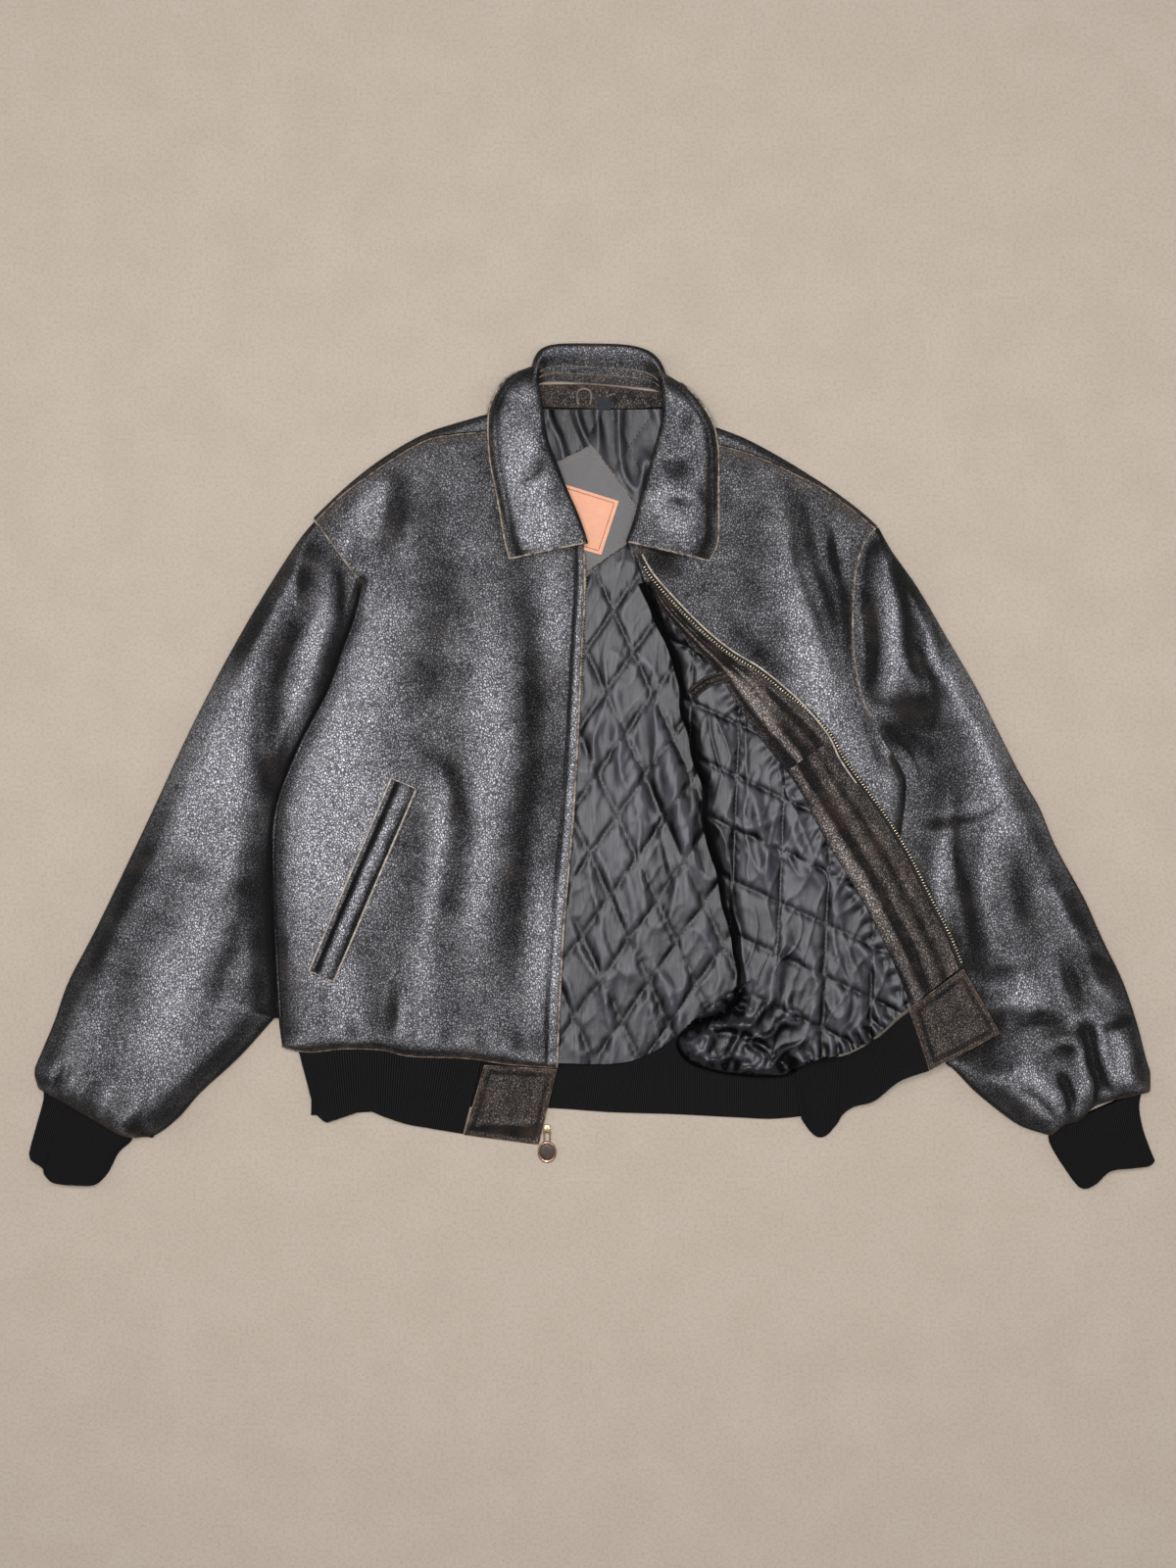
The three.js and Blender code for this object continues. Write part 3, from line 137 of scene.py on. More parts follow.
# The levels of what lies on the floor and on the back's hem knit, and the stretch of Y between the two
HEM_LIFT = (0.4, KNIT + RIB_RELIEF + 1)
HEM_STEP_Y = (-358, -342)

# The slider, and the pull in its own frame with the hinge at the origin
SLIDER_AT = (-43.4, -352, 0.8)
SLIDER_HEIGHT = 3.4
SLIDER_PLAN = [(-2.6, 5), (2.6, 5), (3.4, 1), (2.4, -3), (-2.4, -3), (-3.4, 1)]
SLIDER_ARCH = [(2.6, -0.4), (2.5, 1.4), (1.9, 2.5), (0.4, 3), (-1.2, 2.6), (-1.9, 1.4), (-2, -0.4)]
PULL_SLOPE = 0.12
PULL_ARM = 14
PULL_LINK = [
    (-2.6, 0), (-2.7, -5), (-2.6, -11), (-1.2, -13.2), (1.2, -13.2), (2.6, -11), (2.7, -5), (2.6, 0),
]
PULL_DISC = (9, 10.5)
PULL_RIM_RINGS = [(1.0, -0.5), (1.0, 0.3), (0.94, 0.5), (0.86, 0.5), (0.8, 0.28)]
PULL_INLAY_RINGS = [(0.8, 0.0), (0.8, 0.3), (0.72, 0.38), (0.4, 0.44)]
PULL_THICKNESS = 2.4

# Two sets of stitched quilting lines on each lining
BACK_QUILT = ((-2, -86), (-26.6, -38), (19, -41))
TURNED_QUILT = ((137, -60), (-2, -50), (45, -21))

# Plan outlines, as the points that their curves pass through
RIGHT_SHOULDER_SEAM = [(-267, 237), (-240, 263), (-201, 291), (-162, 314), (-134, 320), (-101, 323)]
RIGHT_SHOULDER_FOLD = [
    (-268, 240), (-240, 267), (-212, 290), (-180, 311), (-153, 324), (-124, 333), (-100, 340),
]
RIGHT_NECK = [(-101, 323), (-76, 285), (-45, 243), (-8, 215)]
RIGHT_FRONT_EDGE = [(-8, 215), (-7, 169), (-10, 111), (-14, 21), (-19, -59), (-28, -165), (-34, -291)]
RIGHT_HEM = [
    (-300, -271), (-274, -276), (-241, -273), (-204, -274), (-175, -280), (-122, -282), (-79, -288),
    (-34, -291),
]
RIGHT_ARMHOLE = [(-267, 237), (-245, 208), (-223, 178)]
RIGHT_SIDE = [
    (-223, 178), (-230, 146), (-242, 113), (-256, 74), (-281, 26), (-300, -18), (-308, -48), (-310, -84),
    (-308, -160), (-304, -236), (-300, -271),
]
RIGHT_SLEEVE_TOP = [(-268, 238), (-246.5, 207), (-224.5, 177)]
RIGHT_SLEEVE_OUTER = [
    (-268, 238), (-289, 211), (-336, 135), (-384, 45), (-431, -55), (-479, -155), (-506, -207),
    (-520, -246), (-532, -275), (-539, -294), (-536, -310),
]
RIGHT_SLEEVE_LOWER = [(-306, -242), (-341, -281), (-380, -317), (-399, -339), (-421, -356), (-438, -359)]
RIGHT_CUFF_LINE = [(-536, -310), (-508, -325), (-477, -343), (-454, -356), (-438, -359)]
RIGHT_CUFF_OUTER = [(-533, -306), (-531, -321), (-539, -351), (-545, -374), (-544, -380)]
RIGHT_CUFF_END = [(-544, -380), (-530, -388), (-527, -396), (-517, -403), (-486, -405), (-477, -403)]
RIGHT_CUFF_INNER = [(-444, -354), (-446, -363), (-458, -374), (-468, -393), (-477, -403)]
LEFT_SHOULDER_SEAM = [
    (122, 310), (148, 303), (174, 293), (200, 280), (225, 267), (251, 248), (273, 230),
]
LEFT_SHOULDER_FOLD = [
    (120, 327), (148, 316), (180, 299), (208, 282), (234, 265), (258, 247), (275, 232),
]
LEFT_NECK = [(42, 207), (62, 235), (96, 275), (122, 310)]
LEFT_ARMHOLE = [
    (273, 230), (263, 217), (256, 198), (252, 171), (251, 134), (253, 101), (260, 67), (270, 45),
    (284, 20), (294, 8),
]
LEFT_SIDE = [(294, 8), (302.5, -9), (304, -26), (299, -68), (293, -110), (285, -160), (272, -268)]
LEFT_SLEEVE_OUTER = [
    (278, 230), (291, 207), (315, 173), (345, 122), (373, 74), (394, 32), (414, -7), (433, -40),
    (449, -78), (476, -127), (495, -169), (513, -206), (527, -247), (536, -282), (540, -296), (540, -314),
]
LEFT_SLEEVE_LOWER = [
    (302, -27), (297, -68), (296, -110), (304, -170), (322, -245), (341, -285), (351, -294), (370, -314),
    (398, -337), (417, -349), (442, -357),
]
LEFT_CUFF_LINE = [(540, -314), (504, -322), (485, -328), (471, -341), (456, -346), (442, -357)]
LEFT_CUFF_OUTER = [(533, -312), (530, -330), (534, -352), (542, -374), (545, -381)]
LEFT_CUFF_END = [
    (545, -381), (538, -386), (523, -388), (501, -391), (487, -403), (477, -408), (471, -407),
]
LEFT_CUFF_INNER = [(446, -350), (442, -360), (448, -374), (463, -397), (471, -407)]
ZIP_LINE = [
    (49, 204), (60, 185), (84, 158), (110, 132), (135, 112), (161, 96), (183, 79), (207, 58), (231, 31),
    (243, 9), (264, -20), (284, -48), (305, -82), (326, -124), (346, -164), (357, -192),
]
FOLD_EDGE = [
    (46.5, 176), (61, 142), (79, 96), (88, 44), (103, -17), (111, -71), (126, -132), (136, -183),
    (141, -222),
]
LEATHER_FOLD = [
    (42, 207), (53, 176), (69, 142), (88, 96), (98, 44), (113, -17), (122, -71), (139, -132),
    (154, -183), (170, -235), (182, -284),
]
FOLD_LOBE = [
    (141, -222), (126, -237), (96, -248), (83, -266), (93, -287), (134, -298), (182, -300), (196, -293),
]
LEFT_LINING_HEM = [(196, -293), (212, -281), (246, -275), (276, -257), (292, -242), (306, -230.8)]
FACING_EDGE = [
    (55, 178), (66, 152), (86, 129), (113, 99), (128, 79), (144, 53), (166, 22), (198, -20), (225, -71),
    (255, -120), (285, -178), (306.5, -230),
]
LEFT_TAB = [(305, -232.6), (356, -194.5), (391, -256), (324.4, -292)]
RIGHT_TAB = [(-104, -289), (-34, -293), (-51.5, -366.5), (-124, -357)]
BACK_LINING_HEM = [
    (-68, -287), (-29, -287), (7, -288), (37, -285), (61, -275), (82, -262), (110, -256), (165, -262),
]
BACK_HEM = [(-300, -271), (-150, -286), (0, -288.8), (150, -286), (272, -268)]
BACK_NECK = [(-100, 340), (-60, 362), (10, 366), (74, 356), (120, 327)]
COLLAR_ROLL = [
    (-4, 214), (-12, 238), (-25, 268), (-35, 294), (-43, 316), (-48, 348), (-52, 374), (-48, 392),
    (-36, 400), (0, 401), (38, 399), (57, 390), (66, 372), (68, 350), (66, 328), (59, 302), (52, 276),
    (45, 252), (40, 235), (33, 215),
]
COLLAR_EDGE = [
    (-79, 199), (-84, 218), (-90, 252), (-98, 294), (-100, 328), (-97, 350), (-83, 373), (-60, 386),
    (-36, 378), (0, 376), (38, 374), (74, 376), (95, 362), (115, 334), (121, 310), (122, 294),
    (122, 262), (122, 235), (121, 215), (113, 197),
]
COLLAR_SEAM = [
    (-14, 219), (-23, 243), (-37, 272), (-47, 297), (-54, 318), (-57, 344), (-56, 360), (-52, 369),
    (-36, 372), (0, 370), (38, 367), (60, 364), (71, 354), (76, 340), (76, 326), (70, 304), (63, 280),
    (56, 256), (50, 240), (43, 221),
]
NECK_FACING_LOW = [(-54, 348), (-16, 346.5), (35, 346), (72, 348)]
NECK_FACING_HIGH = [(-54, 368.8), (0, 368.8), (66, 361.5)]
NECK_PATCH = [(-38, 292), (0, 311), (45, 250), (52, 238), (31, 212), (-8, 186), (-52, 250)]
LABEL = [(-38, 276), (26, 256), (9, 204), (-52, 222)]
SIZE_LABEL = [(5, 357), (18, 356.5), (18, 344.5), (5, 345)]
HANGER_LOOP = [(-13, 349), (-14.5, 357), (-13, 362.5), (-7.5, 364.5), (-2, 362.5), (-0.5, 357), (-2, 349)]
POCKET_TOP = (-181, -17)
POCKET_BOTTOM = (-260, -201.5)
POCKET_WIDTH = 24

# The pocket's opening: its slot as a place across, a width and a depth, and the welt's crown, with painted
# highlight, and rim, with painted shade
POCKET_SINK = 1.6
POCKET_SLOT = (-6, 1.2, 3)
POCKET_SEAT = 0.9
WELT_LEATHER = 1.2
WELT_WEAR = 0.2
WELT_LIGHT = (0.45, 0.02)

# The seam below the pocket, the inner welt and the hem knit
POCKET_SEAM = [(-250, -206), (-254, -228), (-261, -266)]
INNER_WELT = [(133, 82), (112, 75), (99, 64)]
INNER_WELT_WIDTH = 11
BACK_RIB_HIGH = [
    (-271, -276), (-150, -287), (0, -289), (34, -287), (58, -276), (82, -260), (110, -253), (165, -256),
    (236, -277),
]
BACK_RIB_LOW = [
    (-272, -338), (-120, -330), (-42, -331), (19, -335), (79, -337), (140, -340), (182, -341), (236, -334),
]
RIGHT_RIB_HIGH = [(-285, -270), (-240, -268), (-175, -274), (-105.5, -278)]
RIGHT_RIB_LOW = [
    (-268, -335), (-258, -344), (-251, -343), (-233, -337), (-218, -333), (-201, -339), (-180, -346),
    (-159, -350), (-124.5, -356),
]
LEFT_RIB_HIGH = [(197, -296), (214, -284.5), (247, -279), (277, -261), (293, -246), (305, -236)]
LEFT_RIB_LOW = [
    (203, -340), (211, -353), (219, -359), (227, -357), (236, -347), (242, -337), (253, -329),
    (272, -323), (291, -307), (303, -300), (324, -292.5),
]

# The collar's section from the neck seam to the edge: knots between the seam, the roll and the edge,
# with an offset out from the roll and a height, as an open leaf and as tucked at the back
COLLAR_SECTION = [
    ("seam", 0, (0, 15.4), (0, 8.6)),
    ("seam", 0.5, (0, 17), (0, 12.5)),
    ("seam", 0.9, (-0.5, 19.5), (0, 16.5)),
    ("roll", 0, (-0.5, 22.5), (3, 17)),
    ("roll", 0.03, (0, 25.5), (7.4, 13)),
    ("roll", 0.14, (0, 27), (7.4, 6)),
    ("roll", 0.4, (0, 27), (0, 0.6)),
    ("roll", 0.75, (0, 23.5), (0, 0.2)),
    ("roll", 1, (0, 15.6), (0, 0.2)),
]

# Round the neck, in shares: the middle of the back, and from there where the tuck opens and a leaf starts
COLLAR_BACK = 0.475
COLLAR_TUCK = (0.08, 0.2)
COLLAR_LEAF = 0.13

# The collar's length, the inset of its edge's seam, and the steps between two of its points
COLLAR_LENGTH = 620
COLLAR_INSET = 8.5
COLLAR_STEPS = 12

# How painted light is shared out: painted highlight on level cloth and on crests above the smoothed cloth,
# painted shade on steep sides and in hollows, and painted highlight and shade at listed places
LEVEL_NORMAL = (0.88, 0.997)
LEVEL_PAINTED_LIGHT = 0.43
STEEP_SHARE = 0.32
CREST_PAINTED_LIGHT = 0.24
SHEEN_GAIN = 0.52
SHADE_GAIN = 0.42
AROUND_STEPS = 40

# Creases, each as a path, a half width and a height, up for a ridge and down for a trough
RIGHT_FRONT_CREASES = [
    ([(-203, 278), (-205, 250), (-214, 215)], 13, 3.2),
    ([(-186, 290), (-190, 240), (-208, 184)], 12, -4),
    ([(-240, 240), (-234, 214), (-226, 190)], 6, -1.6),
    ([(-226, 258), (-222, 228), (-216, 206)], 6, 1.5),
    ([(-164, 9), (-140, -3), (-125, -46), (-126, -91), (-142, -152)], 13, -3.4),
    ([(-152, -14), (-148, -60), (-156, -130), (-172, -219)], 15, 2.6),
    ([(-100, -10), (-106, -99), (-120, -240)], 19, 2.6),
    ([(-74, 20), (-80, -90), (-94, -230)], 17, -3.2),
    ([(-50, 70), (-52, -139), (-58, -270)], 15, 1.8),
    ([(-189, -205), (-193, -240), (-197, -272)], 5.5, -2.2),
    ([(-180, -215), (-185, -245), (-188, -270)], 7, 1.6),
    ([(-255, -206), (-262, -245)], 2.2, -1.2),
    ([(-236, -240), (-228, -270)], 6, -1.8),
    ([(-140, -245), (-142, -278)], 6, -1.6),
    ([(-108, -252), (-106, -282)], 6, -1.4),
    ([(-72, -250), (-70, -284)], 6, -1.4),
    ([(-218, -60), (-240, -120), (-262, -180)], 14, 1.6),
    ([(-120, 150), (-90, 60), (-70, -10)], 40, 1.5),
]
CHEST_CREASES = [
    ([(186, 290), (198, 236), (204, 198), (221, 150), (236, 108), (252, 78)], 11, -5),
    ([(214, 262), (222, 215), (236, 165), (246, 120)], 10, 2.6),
    ([(236, 236), (235, 210), (240, 180)], 6, -2),
    ([(178, 240), (190, 170), (216, 110), (246, 50)], 20, 2.2),
    ([(262, 60), (276, 20), (286, -10)], 7, -1.8),
    ([(240, 70), (262, 20), (284, -30)], 12, 1.6),
    ([(150, 260), (150, 200), (160, 140)], 20, -1.4),
]
RIGHT_SLEEVE_CREASES = [
    ([(-250, 206), (-254, 150), (-262, 100), (-302, 2)], 11, 6),
    ([(-270, 196), (-280, 150), (-302, 112), (-314, 48), (-316, 10), (-306, -34)], 15, -7),
    ([(-240, 190), (-240, 160), (-244, 130)], 5, -2),
    ([(-288, 196), (-304, 150), (-324, 100)], 12, 2.5),
    ([(-330, -60), (-366, -120), (-391, -217), (-426, -289)], 20, 3.6),
    ([(-335, -150), (-372, -222), (-408, -300)], 18, -3),
    ([(-420, -130), (-440, -210), (-452, -300)], 22, -2.4),
    ([(-452, -170), (-470, -242), (-484, -290)], 14, 2.2),
    ([(-318, -40), (-350, -58), (-392, -62)], 12, -2.2),
    ([(-312, -90), (-350, -110), (-400, -118)], 14, 1.8),
    ([(-506, -320), (-496, -300), (-484, -286)], 5, 2.4),
    ([(-490, -332), (-480, -312), (-470, -298)], 5, -2),
    ([(-474, -340), (-464, -318), (-456, -300)], 6, 2.4),
    ([(-520, -312), (-512, -296), (-506, -284)], 5, -1.8),
    ([(-452, -352), (-440, -330), (-430, -312)], 7, 1.8),
]
LEFT_SLEEVE_CREASES = [
    ([(270, 216), (278, 187), (287, 142), (283, 92), (277, 60)], 10, 6.5),
    ([(257, 176), (266, 133), (268, 100), (264, 80)], 5, -3.4),
    ([(286, 200), (307, 142), (312, 104), (326, 74), (320, 30)], 11, -7),
    ([(298, 184), (328, 117), (343, 90), (352, 40)], 10, 4),
    ([(324, 150), (338, 100), (340, 60)], 5, -2),
    ([(300, 150), (318, 108), (330, 84)], 5, 1.6),
    ([(280, 40), (298, 12), (314, -16)], 7, -3.4),
    ([(312, -56), (345, -54), (372, -48), (398, -30)], 3.5, -1.8),
    ([(316, -46), (350, -43), (380, -37)], 6, 1.1),
    ([(352, -10), (349, -82), (359, -134), (368, -180)], 8, -2.6),
    ([(376, -60), (372, -120), (384, -180)], 10, 2.2),
    ([(334, -70), (332, -120), (340, -170)], 9, 1.8),
    ([(404, -60), (412, -120), (436, -180)], 16, -2),
    ([(440, -110), (456, -150), (478, -178)], 8, 2.2),
    ([(448, -168), (456, -200), (470, -240)], 8, -4),
    ([(478, -180), (500, -195), (520, -212)], 6, -3),
    ([(470, -200), (492, -216), (512, -236)], 7, 2.4),
    ([(366, -206), (400, -196), (430, -190)], 7, -2),
    ([(360, -240), (400, -226), (440, -226)], 9, 2.4),
    ([(400, -248), (430, -240), (456, -244)], 6, -2.4),
    ([(424, -272), (450, -262), (468, -268), (474, -296), (474, -322)], 8, 5),
    ([(472, -240), (478, -284), (498, -316)], 8, -7),
    ([(484, -240), (490, -280), (506, -312)], 6, 3),
    ([(508, -246), (514, -280), (518, -314)], 8, 2.4),
    ([(484, -252), (504, -248), (526, -240)], 4, -2.4),
    ([(398, -290), (424, -300), (448, -326)], 8, 3),
    ([(408, -310), (430, -322), (446, -344)], 5, -2.6),
    ([(446, -290), (456, -312), (462, -338)], 5, -4),
    ([(484, -296), (484, -316), (482, -330)], 4, -3),
]
BACK_LINING_CREASES = [
    ([(56, 70), (70, 20), (88, -60), (96, -150)], 10, 3.4),
    ([(40, 60), (52, 0), (66, -80), (72, -150)], 8, -1.6),
    ([(20, 110), (24, 40), (30, -40)], 6, 1.4),
    ([(-6, 60), (2, 10), (0, -50)], 5, 1.2),
    ([(24, -80), (40, -130), (44, -190)], 6, 1.4),
    ([(0, -150), (14, -200), (10, -250)], 6, 1.3),
    ([(60, -190), (78, -230), (90, -262)], 6, 1.8),
]
TURNED_LINING_CREASES = [
    ([(150, 0), (166, -80), (172, -132)], 6, 2.2),
    ([(188, -38), (200, -80), (232, -130)], 6, 2),
    ([(122, -40), (147, -60), (188, -42)], 5, 1.6),
    ([(188, -150), (176, -197), (166, -255)], 7, 2.2),
    ([(242, -156), (268, -186), (290, -228)], 6, 1.8),
    ([(208, -78), (248, -118), (276, -156)], 5, 1.6),
    ([(146, -30), (134, -110), (142, -184)], 9, -2),
    ([(204, -160), (216, -210), (206, -262)], 6, 1.6),
    ([(94, -252), (150, -260), (188, -292)], 5, -2.6),
    ([(112, -244), (140, -246), (176, -262)], 7, 2.2),
    ([(108, -284), (130, -276), (160, -284)], 5, 1.8),
    ([(228, -190), (240, -226), (236, -262)], 6, 1.6),
    ([(156, -206), (146, -232), (130, -244)], 6, -2),
]
COLLAR_CREASES = [
    ([(-78, 272), (-60, 280), (-44, 296)], 6, -4),
    ([(-72, 262), (-54, 266), (-38, 276)], 9, 2.4),
    ([(-84, 300), (-66, 306), (-50, 312)], 10, 1.8),
    ([(-60, 222), (-52, 240), (-40, 256)], 12, 1.8),
    ([(62, 294), (80, 286), (100, 284)], 8, -2.6),
    ([(60, 268), (82, 262), (106, 264)], 10, 2.2),
    ([(58, 244), (76, 250), (96, 244)], 8, -2.4),
    ([(60, 226), (80, 232), (104, 226)], 10, 1.8),
    ([(84, 320), (94, 330), (104, 336)], 8, -1.6),
]

# Painted highlight and painted shade on the leather and the lining: a path, a half width and an amount, up
# for painted highlight and down for painted shade
RIGHT_FRONT_SHEEN = [
    ([(-186, 200), (-222, 116), (-240, 20), (-240, -60), (-262, -150)], 36, 0.95),
    ([(-250, 30), (-262, -20), (-268, -90), (-272, -200)], 24, 0.6),
    ([(-196, 280), (-226, 239), (-240, 196)], 9, 0.9),
    ([(-232, 192), (-236, 150), (-244, 110)], 9, -1.0),
    ([(-172, 300), (-152, 210), (-150, 140), (-168, 40)], 22, -0.35),
    ([(-180, 24), (-146, 8), (-128, -20), (-124, -70)], 10, -0.4),
    ([(-160, 8), (-143, -15), (-146, -60), (-152, -108), (-156, -170)], 6, 0.6),
    ([(-176, 10), (-176, -50), (-200, -110)], 12, -0.3),
    ([(-110, 180), (-97, 60), (-104, -65), (-118, -190)], 19, 0.6),
    ([(-84, 240), (-64, 150), (-57, 40), (-62, -65), (-86, -230)], 13, -0.75),
    ([(-38, 210), (-36, 150), (-34, 90)], 12, 0.7),
    ([(-40, -90), (-46, -150), (-56, -262)], 14, 0.75),
    ([(-160, -160), (-165, -226), (-170, -270)], 14, 0.45),
    ([(-236, -180), (-242, -220), (-236, -262)], 20, 0.6),
    ([(-204, -212), (-206, -250), (-200, -272)], 10, -0.4),
    ([(-120, 300), (-90, 290), (-60, 250)], 22, -0.2),
    ([(-11, 214), (-12, 111), (-17, 21), (-23, -59), (-33, -165), (-40, -290)], 6, 0.6),
]
CHEST_SHEEN = [
    ([(200, 220), (205, 130), (226, 50), (262, -30), (282, -70)], 20, 0.75),
    ([(206, 270), (224, 220), (243, 144), (264, 70)], 10, -0.9),
    ([(232, 244), (240, 200), (246, 160)], 6, 0.5),
    ([(60, 225), (70, 200), (84, 180)], 14, -0.9),
    ([(150, 280), (140, 220), (150, 150)], 26, -0.15),
    ([(120, 150), (160, 110), (196, 80)], 9, -0.5),
]
RIGHT_SLEEVE_SHEEN = [
    ([(-250, 196), (-256, 150), (-270, 106), (-290, 10)], 10, 0.95),
    ([(-272, 190), (-282, 140), (-303, 68), (-308, -20), (-304, -60)], 12, -0.65),
    ([(-326, 110), (-366, 0), (-384, -100)], 46, 0.8),
    ([(-330, -10), (-350, -60), (-360, -110)], 30, 0.4),
    ([(-440, -70), (-450, -150), (-470, -240)], 30, -0.25),
    ([(-360, -110), (-380, -170), (-416, -262), (-440, -320)], 30, 0.8),
    ([(-330, -130), (-350, -185), (-366, -230)], 9, -0.5),
    ([(-480, -200), (-500, -262), (-512, -300)], 12, 0.35),
    ([(-304, -60), (-306, -130), (-304, -210)], 10, -0.5),
]
LEFT_SLEEVE_SHEEN = [
    ([(272, 206), (281, 154), (287, 110), (284, 60)], 9, 0.95),
    ([(292, 200), (306, 160), (312, 90), (310, 10)], 11, -0.45),
    ([(262, 170), (268, 120), (264, 70)], 5, -0.7),
    ([(318, 180), (352, 116), (378, 10), (366, -120)], 34, 0.75),
    ([(400, -60), (406, -110), (410, -190)], 14, -0.55),
    ([(420, 10), (440, -50), (462, -130)], 15, 0.45),
    ([(334, -60), (332, -110), (338, -160)], 12, 0.5),
    ([(420, -240), (446, -262), (470, -270)], 14, -0.6),
    ([(400, -290), (426, -312), (446, -336)], 11, 0.7),
    ([(496, -240), (502, -274), (510, -306)], 11, 0.7),
    ([(456, -160), (470, -200), (482, -236)], 8, -0.6),
    ([(360, -200), (400, -216), (440, -210)], 12, 0.35),
]
COLLAR_SHEEN = [
    ([(-84, 345), (-76, 300), (-62, 250), (-46, 206)], 22, 1.0),
    ([(-70, 236), (-50, 222), (-30, 216)], 14, 0.5),
    ([(56, 268), (72, 246), (94, 224)], 11, 0.95),
    ([(98, 350), (110, 310), (112, 262)], 9, 0.2),
    ([(-50, 330), (-40, 300), (-24, 262)], 9, -0.5),
]
FACING_SHEEN = [
    ([(128, 98), (154, 68), (182, 30)], 10, 1.2),
    ([(70, 156), (96, 130), (120, 104)], 6, 0.4),
    ([(214, -40), (250, -100), (290, -176)], 6, 0.5),
]
LINING_SHADE = [
    ([(58, 160), (80, 80), (104, -20), (116, -80), (134, -150), (142, -215)], 11, -0.8),
    ([(86, -120), (72, -170), (44, -232)], 8, -0.6),
    ([(60, 190), (66, 170), (78, 150)], 12, -0.6),
    ([(-50, 335), (0, 330), (60, 335)], 16, -0.5),
    ([(30, 60), (40, -20), (30, -110)], 26, 0.25),
    ([(146, 10), (186, -80), (222, -170)], 36, 0.3),
]


def smooth(value, low=0.0, high=1.0):
    """A share from 0 to 1, eased at both ends."""
    t = np.clip((value - low) / (high - low), 0, 1)
    return t * t * (3 - 2 * t)


def blend(low, high, share):
    return low + (high - low) * share


def bell(value, centre, width):
    """A soft bump, 1 high at its centre."""
    return np.exp(-(((value - centre) / width) ** 2))


def eased_curve(a, b, c, d, t):
    """Points from b to c on the smooth curve that comes from a and goes on to d."""
    m, n = (c - a) / 2, (d - b) / 2
    return b + m * t + (3 * (c - b) - 2 * m - n) * t**2 + (2 * (b - c) + m + n) * t**3


def at_level(points, z):
    """Plan points at one height."""
    return np.column_stack([points, np.full(len(points), z)])


def bunched(t, amount):
    """Numbers from 0 to 1, moved closer together near both ends."""
    return blend(t, (1 - np.cos(PI * t)) / 2, amount)


LINE_STEPS = 240


class Line:
    """A plan line, read by its share of length."""

    def __init__(self, points):
        self.points = np.asarray(points, float)
        steps = np.hypot(*np.diff(self.points, axis=0).T)
        self.length = steps.sum()
        self.shares = np.concatenate([[0], np.cumsum(steps)]) / self.length

    def at(self, t):
        return np.stack([np.interp(t, self.shares, self.points[:, k]) for k in (0, 1)], axis=-1)

    def part(self, start, end):
        return Line(self.at(np.linspace(start, end, LINE_STEPS)))

    def beside(self, distance):
        """A line on the right-hand side, by a distance that may change along it."""
        t = np.linspace(0, 1, LINE_STEPS)
        along = np.gradient(self.at(t), axis=0)
        along /= np.linalg.norm(along, axis=1)[:, None]
        left = np.stack([-along[:, 1], along[:, 0]], axis=-1)
        far = distance(t) if callable(distance) else np.full(len(t), distance)
        return Line(self.at(t) - left * far[:, None])


def spline(points, steps=24):
    """A smooth line through points."""
    p = np.asarray(points, float)
    q = np.vstack([p[:1], p, p[-1:]])
    t = np.linspace(0, 1, steps, endpoint=False)[:, None]
    made = [eased_curve(*four, t) for four in zip(q[:-3], q[1:-2], q[2:-1], q[3:])]
    return Line(np.vstack([*made, p[-1:]]))


def chain(*lines):
    """Lines joined end to end."""
    return Line(np.vstack([lines[0].points] + [line.points[1:] for line in lines[1:]]))


def patch(top, bottom, left, right):
    """A plan stretched between four lines: u runs left to right and v from top to bottom."""
    a, b, c, d = top.at(0), top.at(1), bottom.at(0), bottom.at(1)

    def plan(u, v):
        s, t = u[:, None], v[:, None]
        sides = (1 - t) * top.at(u) + t * bottom.at(u) + (1 - s) * left.at(v) + s * right.at(v)
        return sides - ((1 - s) * (1 - t) * a + s * (1 - t) * b + (1 - s) * t * c + s * t * d)

    return plan


def between(first, second):
    """A plan of straight runs from one line to another."""

    def plan(u, v):
        return blend(first.at(u), second.at(u), v[:, None])

    return plan


def nearest(line, x, y, steps=80):
    """The distance to a plan line and the share of its length at the closest point."""
    points = line.at(np.linspace(0, 1, steps + 1))
    best = np.full(np.shape(x), 1e9)
    where = np.zeros(np.shape(x))
    for i, (p, q) in enumerate(zip(points[:-1], points[1:])):
        d = q - p
        t = np.clip(((x - p[0]) * d[0] + (y - p[1]) * d[1]) / (d @ d + 1e-12), 0, 1)
        away = np.hypot(x - p[0] - t * d[0], y - p[1] - t * d[1])
        closer = away < best
        best = np.where(closer, away, best)
        where = np.where(closer, (i + t) / steps, where)
    return best, where


def noise(x, y, size, seed, cells=64):
    """Smooth lumps of about the given size, between -1 and 1."""
    angles = np.random.default_rng(seed).uniform(0, 2 * PI, (cells, cells))
    px, py = x / size, y / size
    ix, iy = np.floor(px).astype(int), np.floor(py).astype(int)
    fx, fy = px - ix, py - iy

    def corner(i, j):
        a = angles[(ix + i) % cells, (iy + j) % cells]
        return np.cos(a) * (fx - i) + np.sin(a) * (fy - j)

    sx, sy = smooth(fx), smooth(fy)
    low = blend(corner(0, 0), corner(1, 0), sx)
    return 1.5 * blend(low, blend(corner(0, 1), corner(1, 1), sx), sy)


def creased(creases, x, y):
    """The height that a list of creases adds, fading out at both ends of each. On a list of sheen places the
    same sum gives painted highlight and painted shade.
    """
    total = np.zeros(np.shape(x))
    for path, width, height in creases:
        line = spline(path)
        low, high = line.points.min(axis=0) - 3 * width, line.points.max(axis=0) + 3 * width
        near = (x > low[0]) & (x < high[0]) & (y > low[1]) & (y < high[1])
        away, share = nearest(line, x[near], y[near], 24)
        total[near] += height * bell(away, 0, width) * np.sin(PI * share) ** 0.8
    return total


